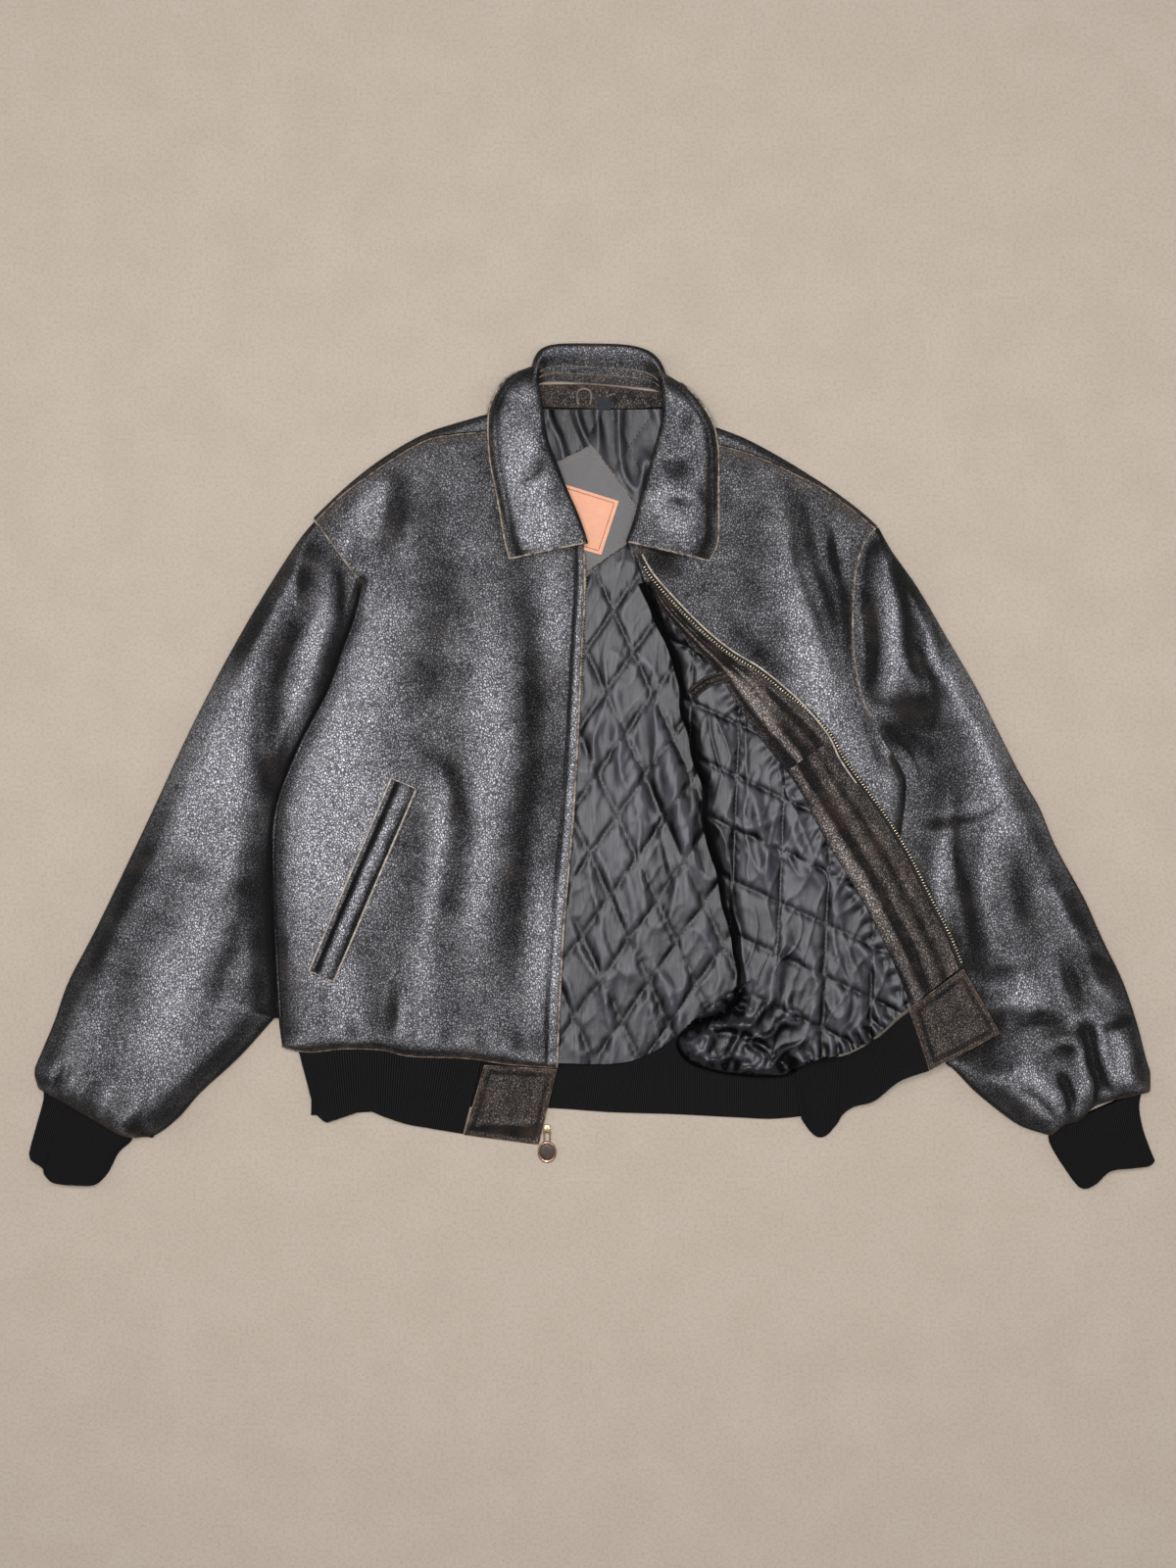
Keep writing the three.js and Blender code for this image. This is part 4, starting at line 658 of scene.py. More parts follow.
def rolled(distance, width):
    """How far a rolled edge has come up at a distance from it: steep first, then level."""
    return np.sqrt(1 - (1 - np.minimum(distance / width, 1)) ** 2)


def eased(distance, width):
    """How far a flat edge has come up at a distance from it: level, steep and level again."""
    return smooth(distance, 0, width)


def puffed(top, edges, creases, seed):
    """The height of a puffed cloth: a level top that comes down to each edge's own height."""
    lowest = min(low for _, low, _, _ in edges)

    def height(x, y):
        drop = np.zeros(np.shape(x))
        calm = np.ones(np.shape(x))
        for line, low, width, profile in edges:
            away = nearest(line, x, y)[0]
            drop += ((top - low) * (1 - profile(away, width))) ** EDGE_BLEND
            calm *= smooth(away, -6, 16)
        ripple = sum(high * noise(x, y, size, seed + i) for i, (high, size) in enumerate(RIPPLES))
        folds = creased(creases, x, y)
        return np.maximum(top - drop ** (1 / EDGE_BLEND) + (folds + ripple) * calm, lowest)

    return height


# Lines that several pieces share
right_armhole = spline(RIGHT_ARMHOLE)
right_side = spline(RIGHT_SIDE)
right_flank = chain(right_armhole, right_side)
right_top = chain(spline(RIGHT_SHOULDER_SEAM), spline(RIGHT_NECK))
front_edge = spline(RIGHT_FRONT_EDGE)
right_hem = spline(RIGHT_HEM)
left_armhole = spline(LEFT_ARMHOLE)
left_side = spline(LEFT_SIDE)
left_flank = chain(left_armhole, left_side)
left_top = chain(spline(LEFT_NECK), spline(LEFT_SHOULDER_SEAM))
leather_fold = spline(LEATHER_FOLD)
zip_line = spline(ZIP_LINE)
facing_edge = spline(FACING_EDGE)
lining_rim = chain(spline(FOLD_EDGE), spline(FOLD_LOBE))
chest_hem = spline([LEATHER_FOLD[-1], (222, -276), LEFT_SIDE[-1]])
turned_hem = spline([LEATHER_FOLD[-1], (212, -278), (246, -271), (276, -253), (307, -227), (347, -197)])
right_sleeve_inner = chain(right_side.part(0, 0.94).beside(-SLEEVE_TUCK), spline(RIGHT_SLEEVE_LOWER))
left_sleeve_armhole = left_armhole.beside(SLEEVE_TUCK)
left_underarm = spline([left_sleeve_armhole.at(1), (300.5, -8), *LEFT_SLEEVE_LOWER])
left_sleeve_inner = chain(left_sleeve_armhole, left_underarm)
pocket_line = Line([POCKET_TOP, POCKET_BOTTOM])


def zip_width(t):
    """The width of the left tape that shows along the zip."""
    return blend(*ZIP_WIDTH, smooth(t, 0.3, 0.6))


def front_strip(height):
    """The right front with its folded edge strip and the groove of its seam."""

    def strip(x, y):
        away, along = nearest(front_edge, x, y)
        width = blend(*STRIP_WIDTH, along)
        groove = -STRIP_GROOVE[0] * bell(away - width, 1, STRIP_GROOVE[1])
        swell = STRIP_SWELL * np.sqrt(np.clip(1 - ((away - 0.5 * width) / (0.6 * width)) ** 2, 0, 1))
        return height(x, y) + swell + groove - STRIP_SINK

    return strip


def pocket_recess(height):
    """The front with the pocket's opening sunk a little into it."""
    along = (np.array(POCKET_BOTTOM) - POCKET_TOP) / pocket_line.length
    slot_at, slot_width, slot_depth = POCKET_SLOT

    def sunk(x, y):
        dx, dy = x - POCKET_TOP[0], y - POCKET_TOP[1]
        run, across = dx * along[0] + dy * along[1], dx * -along[1] + dy * along[0]
        edge = np.minimum(POCKET_WIDTH / 2 - np.abs(across), np.minimum(run, pocket_line.length - run))
        slot = bell(across, slot_at, slot_width) * smooth(edge, 0, 3)
        return height(x, y) - POCKET_SINK * smooth(edge, -2, 2) - slot_depth * slot

    return sunk


right_front_height = pocket_recess(front_strip(puffed(FRONT_TOP, [
    (right_side, SIDE_EDGE, 38, rolled),
    (right_hem, HEM_EDGE, 24, rolled),
    (front_edge, FRONT_EDGE, 70, eased),
    (right_armhole, SHOULDER_TOP, 60, eased),
    (right_top, SHOULDER_TOP, 90, eased),
], RIGHT_FRONT_CREASES, 10)))
chest_height = puffed(CHEST_TOP, [
    (left_side, SIDE_EDGE + 0.5, 30, rolled),
    (left_armhole, SHOULDER_TOP, 50, eased),
    (left_top, SHOULDER_TOP, 60, eased),
    (leather_fold, FOLD_LOW, 110, eased),
    (chest_hem, HEM_EDGE - 3, 60, eased),
], CHEST_CREASES, 20)
right_sleeve_height = puffed(SLEEVE_TOP, [
    (spline(RIGHT_SLEEVE_OUTER), SIDE_EDGE, 46, rolled),
    (chain(right_side, spline(RIGHT_SLEEVE_LOWER)), SIDE_EDGE, 46, rolled),
    (right_armhole, SHOULDER_TOP, 70, eased),
    (spline(RIGHT_CUFF_LINE), SLEEVE_END, 34, rolled),
], RIGHT_SLEEVE_CREASES, 30)
left_sleeve_height = puffed(SLEEVE_TOP, [
    (spline(LEFT_SLEEVE_OUTER), SIDE_EDGE, 46, rolled),
    (left_underarm.part(0, 0.62), SIDE_EDGE, 105, eased),
    (left_underarm.part(0.6, 1), SIDE_EDGE, 46, rolled),
    (left_sleeve_armhole, SHOULDER_TOP, 60, eased),
    (spline(LEFT_CUFF_LINE), SLEEVE_END, 34, rolled),
], LEFT_SLEEVE_CREASES, 40)


def turned_height(x, y):
    """The upper side of the turned leather, which rises where it lies on the left sleeve."""
    return TURNED_LOW + TURNED_RISE * smooth(x, *TURNED_RISE_X) * (1 - smooth(y, *TURNED_RISE_Y))


def over_back(x, y):
    """The level of what lies on the back's hem knit, and past its lower edge on the floor."""
    return blend(*HEM_LIFT, smooth(y, *HEM_STEP_Y))


def over_sleeve(x, y):
    """The level of what hangs from the turned front down to the back's hem knit."""
    turned = turned_height(x, y) - HEM_LIFT[0] - SLEEVE_STEP * (1 - smooth(x, *SLEEVE_STEP_X))
    return np.maximum(turned, over_back(x, y))


def quilt_shares(pattern, x, y):
    """Where points lie in a quilting pattern, counted in cells along its two sets of lines."""
    (ox, oy), (ax, ay), (bx, by) = pattern
    area = ax * by - ay * bx
    return ((x - ox) * by - (y - oy) * bx) / area, (ax * (y - oy) - ay * (x - ox)) / area


def quilting(pattern, x, y, seed):
    """Padded cells between two sets of stitched lines, with the gathers that the stitches pull."""
    _, a, b = pattern
    p, q = quilt_shares(pattern, x, y)
    area = abs(a[0] * b[1] - a[1] * b[0])
    puff = np.ones(np.shape(x))
    gather = np.zeros(np.shape(x))
    for across, along, run in [(p, q, math.hypot(*b)), (q, p, math.hypot(*a))]:
        away = np.abs(across - np.round(across)) * area / run
        puff *= np.tanh(away / QUILT_ROUND)
        wave = np.sin(2 * PI * along * run / GATHER[1] + 4 * noise(x, y, 60, seed))
        gather += GATHER[0] * wave * bell(away, 3, 3) * (0.5 + noise(x, y, 25, seed + 7))
    return QUILT_SHOWN * puff + gather


def satin(x, y, seed):
    """Soft crumples of a slippery lining, longer down the body than across it."""
    bend = 5 * noise(x, y, 46, seed)
    fold = 1 - np.abs(noise(x + bend + 0.15 * y, y * 0.3, 30, seed + 1))
    fine = 1 - np.abs(noise(x - 0.3 * y + bend, y * 0.35, 16, seed + 2))
    return 1.2 * fold**8 + 0.6 * fine**8


def turned_lining_height(x, y):
    """The quilted lining on the turned front, which rolls over the fold."""
    rim = nearest(lining_rim, x, y, 140)[0]
    base = blend(LINING_RIM, turned_height(x, y) + LEATHER + LAYER_SEAT, rolled(rim, LINING_ROLL))
    seam, along = nearest(facing_edge, x, y)
    ruffle = np.sin(2 * PI * along * 34 + 3 * noise(x, y, 60, 71)) * bell(seam, 5, 8)
    tuck, along = nearest(spline(FOLD_LOBE + LEFT_LINING_HEM[1:]), x, y)
    hem = np.sin(2 * PI * along * 24 + 3 * noise(x, y, 60, 72)) * bell(tuck, 5, 10)
    lobe = smooth(y, -205, -240) * smooth(x, 215, 180)
    crumple = 4.5 * lobe * (1 - np.abs(noise(x + 0.4 * y, y - 0.5 * x, 26, 63))) ** 5
    loose = quilting(TURNED_QUILT, x, y, 60) * (1 - 0.5 * lobe) + satin(x, y, 61) + crumple
    loose += creased(TURNED_LINING_CREASES, x, y)
    return base + LINING + (loose + 0.5 * ruffle + 1.2 * hem) * eased(rim, 7)


def back_lining_height(x, y):
    """The quilted lining of the back, with long drapes below the neck."""
    drape = smooth(y, 150, 260)
    folds = 2.6 * (1 - np.abs(noise(x + 0.35 * y, 0.3 * y - x * 0.2, 26, 81))) ** 4
    lying = quilting(BACK_QUILT, x, y, 80) * (1 - 0.75 * drape) + creased(BACK_LINING_CREASES, x, y)
    return LINING_BASE + LINING + 1.4 + lying + blend(satin(x, y, 82), folds, drape)


def facing_height(x, y, across, along, upper):
    """The facing: a rubbed ridge beside the lining, then a valley, then the strip beside the zip."""
    ridge = (4.2 if upper else 2.6) * bell(across, 0.32 if upper else 0.12, 0.16)
    valley = -1.3 * bell(across, 0.78 if upper else 0.36, 0.08)
    low = -0.8 * bell(across, 0.7, 0.07) * (not upper)
    run = 0.8 * noise(across * 46, along * 60, 13, 90) + 0.35 * noise(across * 46, along * 150, 8, 91)
    return turned_height(x, y) + LEATHER + SEAM + FACING + ridge + valley + low + run + LAYER_SEAT


# Finishes


class Finish:
    """A procedural finish, built node by node on the piece's own coordinates."""

    def __init__(self, name, **constants):
        self.material = bpy.data.materials.new(name)
        self.material.use_nodes = True
        self.tree = self.material.node_tree
        self.shader = self.tree.nodes["Principled BSDF"]
        self.place = self.add("TexCoord").outputs["Object"]
        self.shade(**constants)

    def put(self, socket, value):
        if isinstance(value, bpy.types.NodeSocket):
            self.tree.links.new(value, socket)
        else:
            socket.default_value = value

    def add(self, kind, settings=None, **inputs):
        node = self.tree.nodes.new("ShaderNode" + kind)
        for key, value in (settings or {}).items():
            setattr(node, key, value)
        for key, value in inputs.items():
            self.put(node.inputs[key.replace("_", " ")], value)
        return node

    def shade(self, **inputs):
        for key, value in inputs.items():
            self.put(self.shader.inputs[key.replace("_", " ")], value)

    def calc(self, operation, *values):
        node = self.add("Math", {"operation": operation})
        for socket, value in zip(node.inputs, values):
            self.put(socket, value)
        return node.outputs[0]

    def between(self, value, low, high, start=0.0, end=1.0):
        """A value eased from one range to another."""
        node = self.add("MapRange", {"interpolation_type": "SMOOTHSTEP"}, Value=value)
        for name, number in zip(("From Min", "From Max", "To Min", "To Max"), (low, high, start, end)):
            node.inputs[name].default_value = number
        return node.outputs["Result"]

    def mix(self, share, first, second, kind="MIX"):
        node = self.add("MixRGB", {"blend_type": kind}, Fac=share, Color1=first, Color2=second)
        return node.outputs["Color"]

    def lumps(self, size, detail=3.0, vector=None, rough=0.5):
        """Noise with lumps of a size in millimetres."""
        node = self.add("TexNoise", Vector=vector or self.place, Scale=1 / (size * MM), Detail=detail,
                        Roughness=rough)
        return node.outputs["Fac"]

    def stretched(self, scale, turn=(0, 0, 0)):
        return self.add("Mapping", Vector=self.place, Scale=scale, Rotation=turn).outputs["Vector"]

    def bump(self, height, depth, strength=1.0):
        node = self.add("Bump", Height=height, Distance=depth * MM, Strength=strength)
        self.shade(Normal=node.outputs["Normal"])

    def attribute(self, name):
        return self.add("Attribute", {"attribute_name": name}).outputs["Fac"]


GRAIN = 2.0
TAN = (0.28, 0.205, 0.145, 1)


def leather(name, black, grey, pale, brown, rubbing, rough, dull):
    """Pebbled leather: dark valleys, tops that pale under painted highlight and darken under painted shade,
    brown and tan where it is worn.
    """
    f = Finish(name, Specular_IOR_Level=0.32)
    warp = f.add("TexNoise", Vector=f.place, Scale=1 / (9 * MM), Detail=2.0).outputs["Color"]
    bent = f.add("VectorMath", {"operation": "MULTIPLY_ADD"})
    for socket, value in zip(bent.inputs, (warp, (0.005, 0.005, 0.005), f.stretched((1, 0.72, 1)))):
        f.put(socket, value)
    cells = f.add("TexVoronoi", {"feature": "DISTANCE_TO_EDGE"}, Vector=bent.outputs[0],
                  Scale=1 / (GRAIN * MM))
    tops = f.between(cells.outputs["Distance"], 0.01, 0.26)
    pores = f.lumps(2.6, 3.0, f.stretched((1, 1.7, 1)), rough=0.7)
    patches = f.lumps(34, 4.0)
    mottle = f.lumps(9, 5.0, rough=0.65)
    # Painted light: the tops run from grey under painted shade to pale under painted highlight, dull is where
    # the painted light starts, and painted shade also makes them rougher
    polish = f.between(f.attribute("polish"), dull, 0.96)
    shine = f.calc("MULTIPLY", polish, f.between(patches, 0.3, 0.7, 0.7, 1.0))
    crown = f.mix(shine, grey, pale)
    ground = f.mix(f.calc("MULTIPLY", tops, f.between(pores, 0.34, 0.66, 0.22, 1.0)),
                   f.mix(0.08, black, crown), crown)
    worn = f.calc("ADD", f.attribute("wear"), f.calc("MULTIPLY", f.calc("SUBTRACT", mottle, 0.5), 1.1))
    ground = f.mix(f.calc("MULTIPLY", f.between(patches, 0.45, 0.75), rubbing), ground, brown)
    scuffed = f.calc("MULTIPLY", f.between(worn, 0.3, 0.8), f.between(tops, 0.0, 0.8, 0.35, 1.0))
    ground = f.mix(f.calc("MULTIPLY", scuffed, 0.85), ground, brown)
    ground = f.mix(f.between(worn, 0.72, 1.15), ground, TAN)
    gloss = f.calc("ADD", f.between(patches, 0.3, 0.7, rough + 0.06, rough - 0.04),
                   f.calc("MULTIPLY", f.between(worn, 0.4, 1.0), 0.16))
    gloss = f.calc("ADD", gloss, f.between(tops, 0.1, 0.95, 0.4, 0.0))
    gloss = f.calc("ADD", gloss, f.between(polish, 0.0, 1.0, 0.3, 0.0))
    f.shade(Base_Color=ground, Roughness=gloss)
    f.bump(f.calc("ADD", tops, f.calc("MULTIPLY", pores, 0.2)), 0.45, 1.0)
    return f.material


def nylon():
    """Slippery lining: charcoal with painted highlight on its crests and painted shade in its hollows, with
    faint streaks of its weave.
    """
    f = Finish("lining nylon", Specular_IOR_Level=0.2)
    streaks = f.lumps(2.2, 3.0, f.stretched((1, 0.12, 1)))
    # dark is the lining's colour under painted shade, bright its colour under painted highlight
    dark, bright = (0.001, 0.001, 0.0011, 1), (0.062, 0.059, 0.069, 1)
    shade = f.mix(f.between(f.attribute("polish"), 0.1, 0.9), dark, bright)
    f.shade(Base_Color=f.mix(f.calc("MULTIPLY", streaks, 0.2), shade, (0.008, 0.008, 0.009, 1)),
            Roughness=f.between(streaks, 0.3, 0.7, 0.25, 0.33))
    f.bump(f.calc("ADD", f.lumps(8, 2.0), f.calc("MULTIPLY", streaks, 0.1)), 0.25, 0.6)
    return f.material


def rib_knit():
    """Black wool rib, matt and slightly fuzzy, with painted highlight on its crests."""
    f = Finish("rib knit", Specular_IOR_Level=0.1, Roughness=0.95)
    fuzz = f.lumps(0.9, 3.0)
    # Painted highlight on the rib crests, which the knit pieces keep in the attribute that holds the
    # leather's wear
    crest = f.between(f.attribute("wear"), 0.2, 0.95)
    painted_rib_light = f.mix(crest, (0.0012, 0.0011, 0.0012, 1), (0.0145, 0.0135, 0.0145, 1))
    f.shade(Base_Color=f.mix(f.calc("MULTIPLY", fuzz, 0.4), painted_rib_light, (0.008, 0.0075, 0.008, 1)))
    f.bump(fuzz, 0.35, 0.8)
    return f.material


def worn_edge(name, dark, light, bare):
    """A turned leather edge rubbed through to its pale core."""
    f = Finish(name, Specular_IOR_Level=0.35)
    share = f.between(f.lumps(6, 5.0, rough=0.7), 0.5 - bare, 0.5 + bare)
    f.shade(Base_Color=f.mix(share, dark, light), Roughness=f.between(share, 0, 1, 0.45, 0.75))
    f.bump(f.lumps(1.2, 3.0), 0.25, 0.7)
    return f.material


def plain_leather(name, first, second, rough, depth):
    """Smooth leather with a fine grain and soft marks."""
    f = Finish(name, Specular_IOR_Level=0.45)
    marks = f.lumps(12, 5.0, rough=0.6)
    pores = f.lumps(0.9, 3.0)
    f.shade(Base_Color=f.mix(f.between(marks, 0.3, 0.75), first, second),
            Roughness=f.between(marks, 0.3, 0.7, rough - 0.06, rough + 0.08))
    f.bump(f.calc("ADD", pores, f.calc("MULTIPLY", f.lumps(4, 3.0), 0.8)), depth, 0.7)
    return f.material


def thread(name, colour):
    """Twisted sewing thread."""
    f = Finish(name, Specular_IOR_Level=0.3, Roughness=0.7)
    dull = tuple(0.55 * c for c in colour[:3]) + (1,)
    f.shade(Base_Color=f.mix(f.lumps(5, 3.0), colour, dull))
    f.bump(f.lumps(0.4, 1.0), 0.1, 0.6)
    return f.material


def metal(name, bright, dull, rough):
    """Aged metal, tarnished in patches."""
    f = Finish(name, Metallic=1.0)
    age = f.lumps(3.5, 5.0, rough=0.65)
    f.shade(Base_Color=f.mix(f.between(age, 0.35, 0.7), bright, dull),
            Roughness=f.between(age, 0.3, 0.7, rough - 0.08, rough + 0.15))
    f.bump(f.lumps(0.8, 2.0), 0.05, 0.5)
    return f.material


def woven_tape(name, first, second):
    """Fine woven tape."""
    f = Finish(name, Specular_IOR_Level=0.3, Roughness=0.75)
    weave = f.add("TexWave", Vector=f.place, Scale=160.0, Distortion=1.0).outputs["Fac"]
    f.shade(Base_Color=f.mix(f.calc("MULTIPLY", weave, f.lumps(4, 3.0)), first, second))
    f.bump(weave, 0.15, 0.5)
    return f.material


def pale_floor():
    """A plain pale floor with a fine speckle."""
    f = Finish("pale floor", Specular_IOR_Level=0.25, Roughness=0.8)
    cloud = f.lumps(60, 6.0, rough=0.6)
    grit = f.lumps(3, 4.0, rough=0.7)
    ground = f.mix(f.between(cloud, 0.3, 0.7), (0.45, 0.376, 0.304, 1), (0.475, 0.40, 0.326, 1))
    ground = f.mix(f.between(grit, 0.3, 0.6, 0.3, 0.0), ground, (0.26, 0.215, 0.175, 1))
    f.shade(Base_Color=ground)
    f.bump(grit, 0.5, 0.4)
    return f.material


# In both leathers grey is the tops' colour under painted shade and pale their colour under painted highlight
SHELL = leather(
    "jacket leather",
    black=(0.0016, 0.0015, 0.0017, 1),
    grey=(0.008, 0.0077, 0.0086, 1),
    pale=(0.95, 0.94, 1.0, 1),
    brown=(0.085, 0.062, 0.048, 1),
    rubbing=0.2,
    rough=0.3,
    dull=0.1,
)
FACING_LEATHER = leather(
    "facing leather",
    black=(0.0025, 0.0019, 0.0017, 1),
    grey=(0.009, 0.0068, 0.006, 1),
    pale=(0.80, 0.67, 0.60, 1),
    brown=(0.075, 0.045, 0.032, 1),
    rubbing=0.4,
    rough=0.36,
    dull=0.24,
)
NYLON = nylon()
RIB = rib_knit()
EDGE = worn_edge("worn edge", (0.03, 0.024, 0.02, 1), (0.42, 0.34, 0.27, 1), 0.18)
PALE_EDGE = worn_edge("pale worn edge", (0.2, 0.168, 0.143, 1), (0.6, 0.52, 0.45, 1), 0.2)
DULL_EDGE = worn_edge("dull worn edge", (0.016, 0.013, 0.011, 1), (0.26, 0.2, 0.155, 1), 0.16)
GREY_LEATHER = plain_leather(
    "grey patch leather", (0.066, 0.060, 0.061, 1), (0.125, 0.115, 0.114, 1), 0.5, 0.3)
TAN_LEATHER = plain_leather("tan label leather", (0.66, 0.262, 0.133, 1), (0.77, 0.368, 0.212, 1), 0.45, 0.2)
STRAP = plain_leather("loop leather", (0.06, 0.046, 0.037, 1), (0.24, 0.185, 0.145, 1), 0.55, 0.2)
DARK_THREAD = thread("dark thread", (0.016, 0.013, 0.012, 1))
PALE_THREAD = thread("pale thread", (0.33, 0.26, 0.21, 1))
RUST_THREAD = thread("rust thread", (0.22, 0.07, 0.035, 1))
BRASS = metal("aged brass", (0.62, 0.47, 0.26, 1), (0.22, 0.15, 0.08, 1), 0.38)
COPPER = metal("aged copper", (0.55, 0.34, 0.24, 1), (0.20, 0.11, 0.07, 1), 0.36)
ZIP_METAL = metal("zip metal", (0.62, 0.52, 0.37, 1), (0.26, 0.20, 0.13, 1), 0.36)
DARK_INLAY = plain_leather("pull inlay", (0.04, 0.024, 0.02, 1), (0.075, 0.045, 0.036, 1), 0.4, 0.1)
TAPE = woven_tape("zip tape", (0.004, 0.0036, 0.0036, 1), (0.013, 0.012, 0.0115, 1))
WOVEN_LABEL = woven_tape("woven label", (0.01, 0.011, 0.016, 1), (0.04, 0.042, 0.052, 1))


# Ways of making pieces


WORN = "worn_"


def finished(name, mesh, material):
    """An object for a mesh, at the origin."""
    obj = bpy.data.objects.new(WORN + name, mesh)
    mesh.materials.append(material)
    bpy.context.scene.collection.objects.link(obj)
    return obj


def to_object(name, bm, material, sharp=0.9):
    """Turns a bmesh into a smooth object with sharp edges where it bends hard."""
    for face in bm.faces:
        face.smooth = True
    for edge in bm.edges:
        if len(edge.link_faces) == 2 and edge.calc_face_angle(0) > sharp:
            edge.smooth = False
    mesh = bpy.data.meshes.new(name)
    bm.to_mesh(mesh)
    bm.free()
    return finished(name, mesh, material)


def stands_out(z, columns, rows):
    """How far each point of a grid stands above the cloth round it, or below it."""
    grid = z.reshape(rows + 1, columns + 1)
    around = grid
    for _ in range(AROUND_STEPS):
        p = np.pad(around, 1, mode="edge")
        around = (2 * around + p[:-2, 1:-1] + p[2:, 1:-1] + p[1:-1, :-2] + p[1:-1, 2:]) / 6
    return (grid - around).ravel()


def cloth(name, columns, rows, shape, thickness, material, wear=None, bunch=(0, 0), relief=1.6, sheen=()):
    """A thin shell over a surface, which is given as points for u and v from 0 to 1. It notes how worn each
    point is, which on knit is the painted highlight of its rib crests, and its painted light: painted
    highlight on level crests, and painted shade in hollows and on steep sides."""
    bm = bmesh.new()
    bmesh.ops.create_grid(bm, x_segments=columns, y_segments=rows, size=0.5)
    flat = np.array([v.co[:2] for v in bm.verts])
    u, v = bunched(flat[:, 0] + 0.5, bunch[0]), bunched(0.5 - flat[:, 1], bunch[1])
    points = shape(u, v)
    rub = wear(points[:, 0], points[:, 1], u, v) if wear else np.zeros(len(u))
    for vert, point in zip(bm.verts, points * MM):
        vert.co = point
    bm.normal_update()
    # Painted light: painted highlight where the cloth lies level and on its crests, painted shade on steep
    # sides and in hollows, plus the painted highlight and shade of the sheen list
    level = smooth(np.abs([vert.normal.z for vert in bm.verts]), *LEVEL_NORMAL)
    crest = np.clip(stands_out(points[:, 2], columns, rows) / relief, -1, 1)
    placed = creased(sheen, points[:, 0], points[:, 1])
    placed *= np.where(placed > 0, SHEEN_GAIN, SHADE_GAIN)
    polish = np.clip(LEVEL_PAINTED_LIGHT * blend(STEEP_SHARE, 1, level) + CREST_PAINTED_LIGHT * crest + placed, 0, 1)
    for key, amounts in (("wear", rub), ("polish", polish)):
        layer = bm.verts.layers.float.new(key)
        for vert, amount in zip(bm.verts, amounts):
            vert[layer] = amount
    under, lower = bm.verts[:], bm.faces[:]
    inward = [vert.normal * thickness * MM for vert in under]
    bmesh.ops.extrude_face_region(bm, geom=lower, use_keep_orig=True)
    for vert, step in zip(under, inward):
        vert.co -= step
    for vert in bm.verts:
        vert.co.z = max(vert.co.z, ABOVE_FLOOR * MM)
    bmesh.ops.recalc_face_normals(bm, faces=bm.faces[:])
    return to_object(name, bm, material)


def over(plan, height):
    """A surface of plan points raised to a height."""

    def shape(u, v):
        x, y = plan(u, v).T
        return np.stack([x, y, height(x, y)], axis=-1)

    return shape


def rubbed(*edges):
    """How worn a plan point is, from its distance to edges with an amount and a reach each."""

    def wear(x, y, u, v):
        total = np.zeros(np.shape(x))
        for line, amount, reach in edges:
            total = np.maximum(total, amount * np.exp(-nearest(line, x, y)[0] / reach))
        return total

    return wear


def outline_of(lines):
    """A closed outline of points from lines that follow each other, with a number of steps for each."""
    return [p for line, steps in lines for p in line.at(np.arange(steps) / steps)]


def inset_loop(corners, inset, steps):
    """A closed path inside an outline, moved in from each corner by an inset."""
    p = np.asarray(corners, float)
    inward = p.mean(axis=0) - p
    inner = p + inward / np.linalg.norm(inward, axis=1)[:, None] * inset
    return Line(np.vstack([inner, inner[:1]])).at(np.linspace(0, 1, steps))


def slab(name, outline, low, high, material):
    """A flat piece with an outline."""
    bm = bmesh.new()
    face = bm.faces.new([bm.verts.new((x * MM, y * MM, low * MM)) for x, y in outline])
    made = bmesh.ops.extrude_face_region(bm, geom=[face])
    raised = [e for e in made["geom"] if isinstance(e, bmesh.types.BMVert)]
    bmesh.ops.translate(bm, verts=raised, vec=(0, 0, (high - low) * MM))
    bmesh.ops.triangulate(bm, faces=[f for f in bm.faces if len(f.verts) > 4])
    bmesh.ops.recalc_face_normals(bm, faces=bm.faces[:])
    return to_object(name, bm, material, 0.5)


def tubes(name, paths, radius, material, sides=1):
    """Round cords along paths, joined into one mesh."""
    curve = bpy.data.curves.new(name, "CURVE")
    curve.dimensions = "3D"
    curve.bevel_depth = radius * MM
    curve.bevel_resolution = sides
    curve.use_fill_caps = True
    for path in paths:
        strand = curve.splines.new("POLY")
        strand.points.add(len(path) - 1)
        strand.points.foreach_set("co", np.c_[np.asarray(path) * MM, np.ones(len(path))].ravel())
    draft = bpy.data.objects.new(name + "_draft", curve)
    bpy.context.scene.collection.objects.link(draft)
    shown = draft.evaluated_get(bpy.context.evaluated_depsgraph_get())
    mesh = bpy.data.meshes.new_from_object(shown)
    bpy.data.objects.remove(draft)
    mesh.polygons.foreach_set("use_smooth", np.ones(len(mesh.polygons), bool))
    mesh.name = name
    mesh.materials.clear()
    return finished(name, mesh, material)


def small_shape(build):
    """The points and faces of a small shape that is repeated many times."""
    bm = bmesh.new()
    build(bm)
    bm.verts.ensure_lookup_table()
    points = np.array([v.co for v in bm.verts])
    faces = [[v.index for v in f.verts] for f in bm.faces]
    bm.free()
    return points, faces


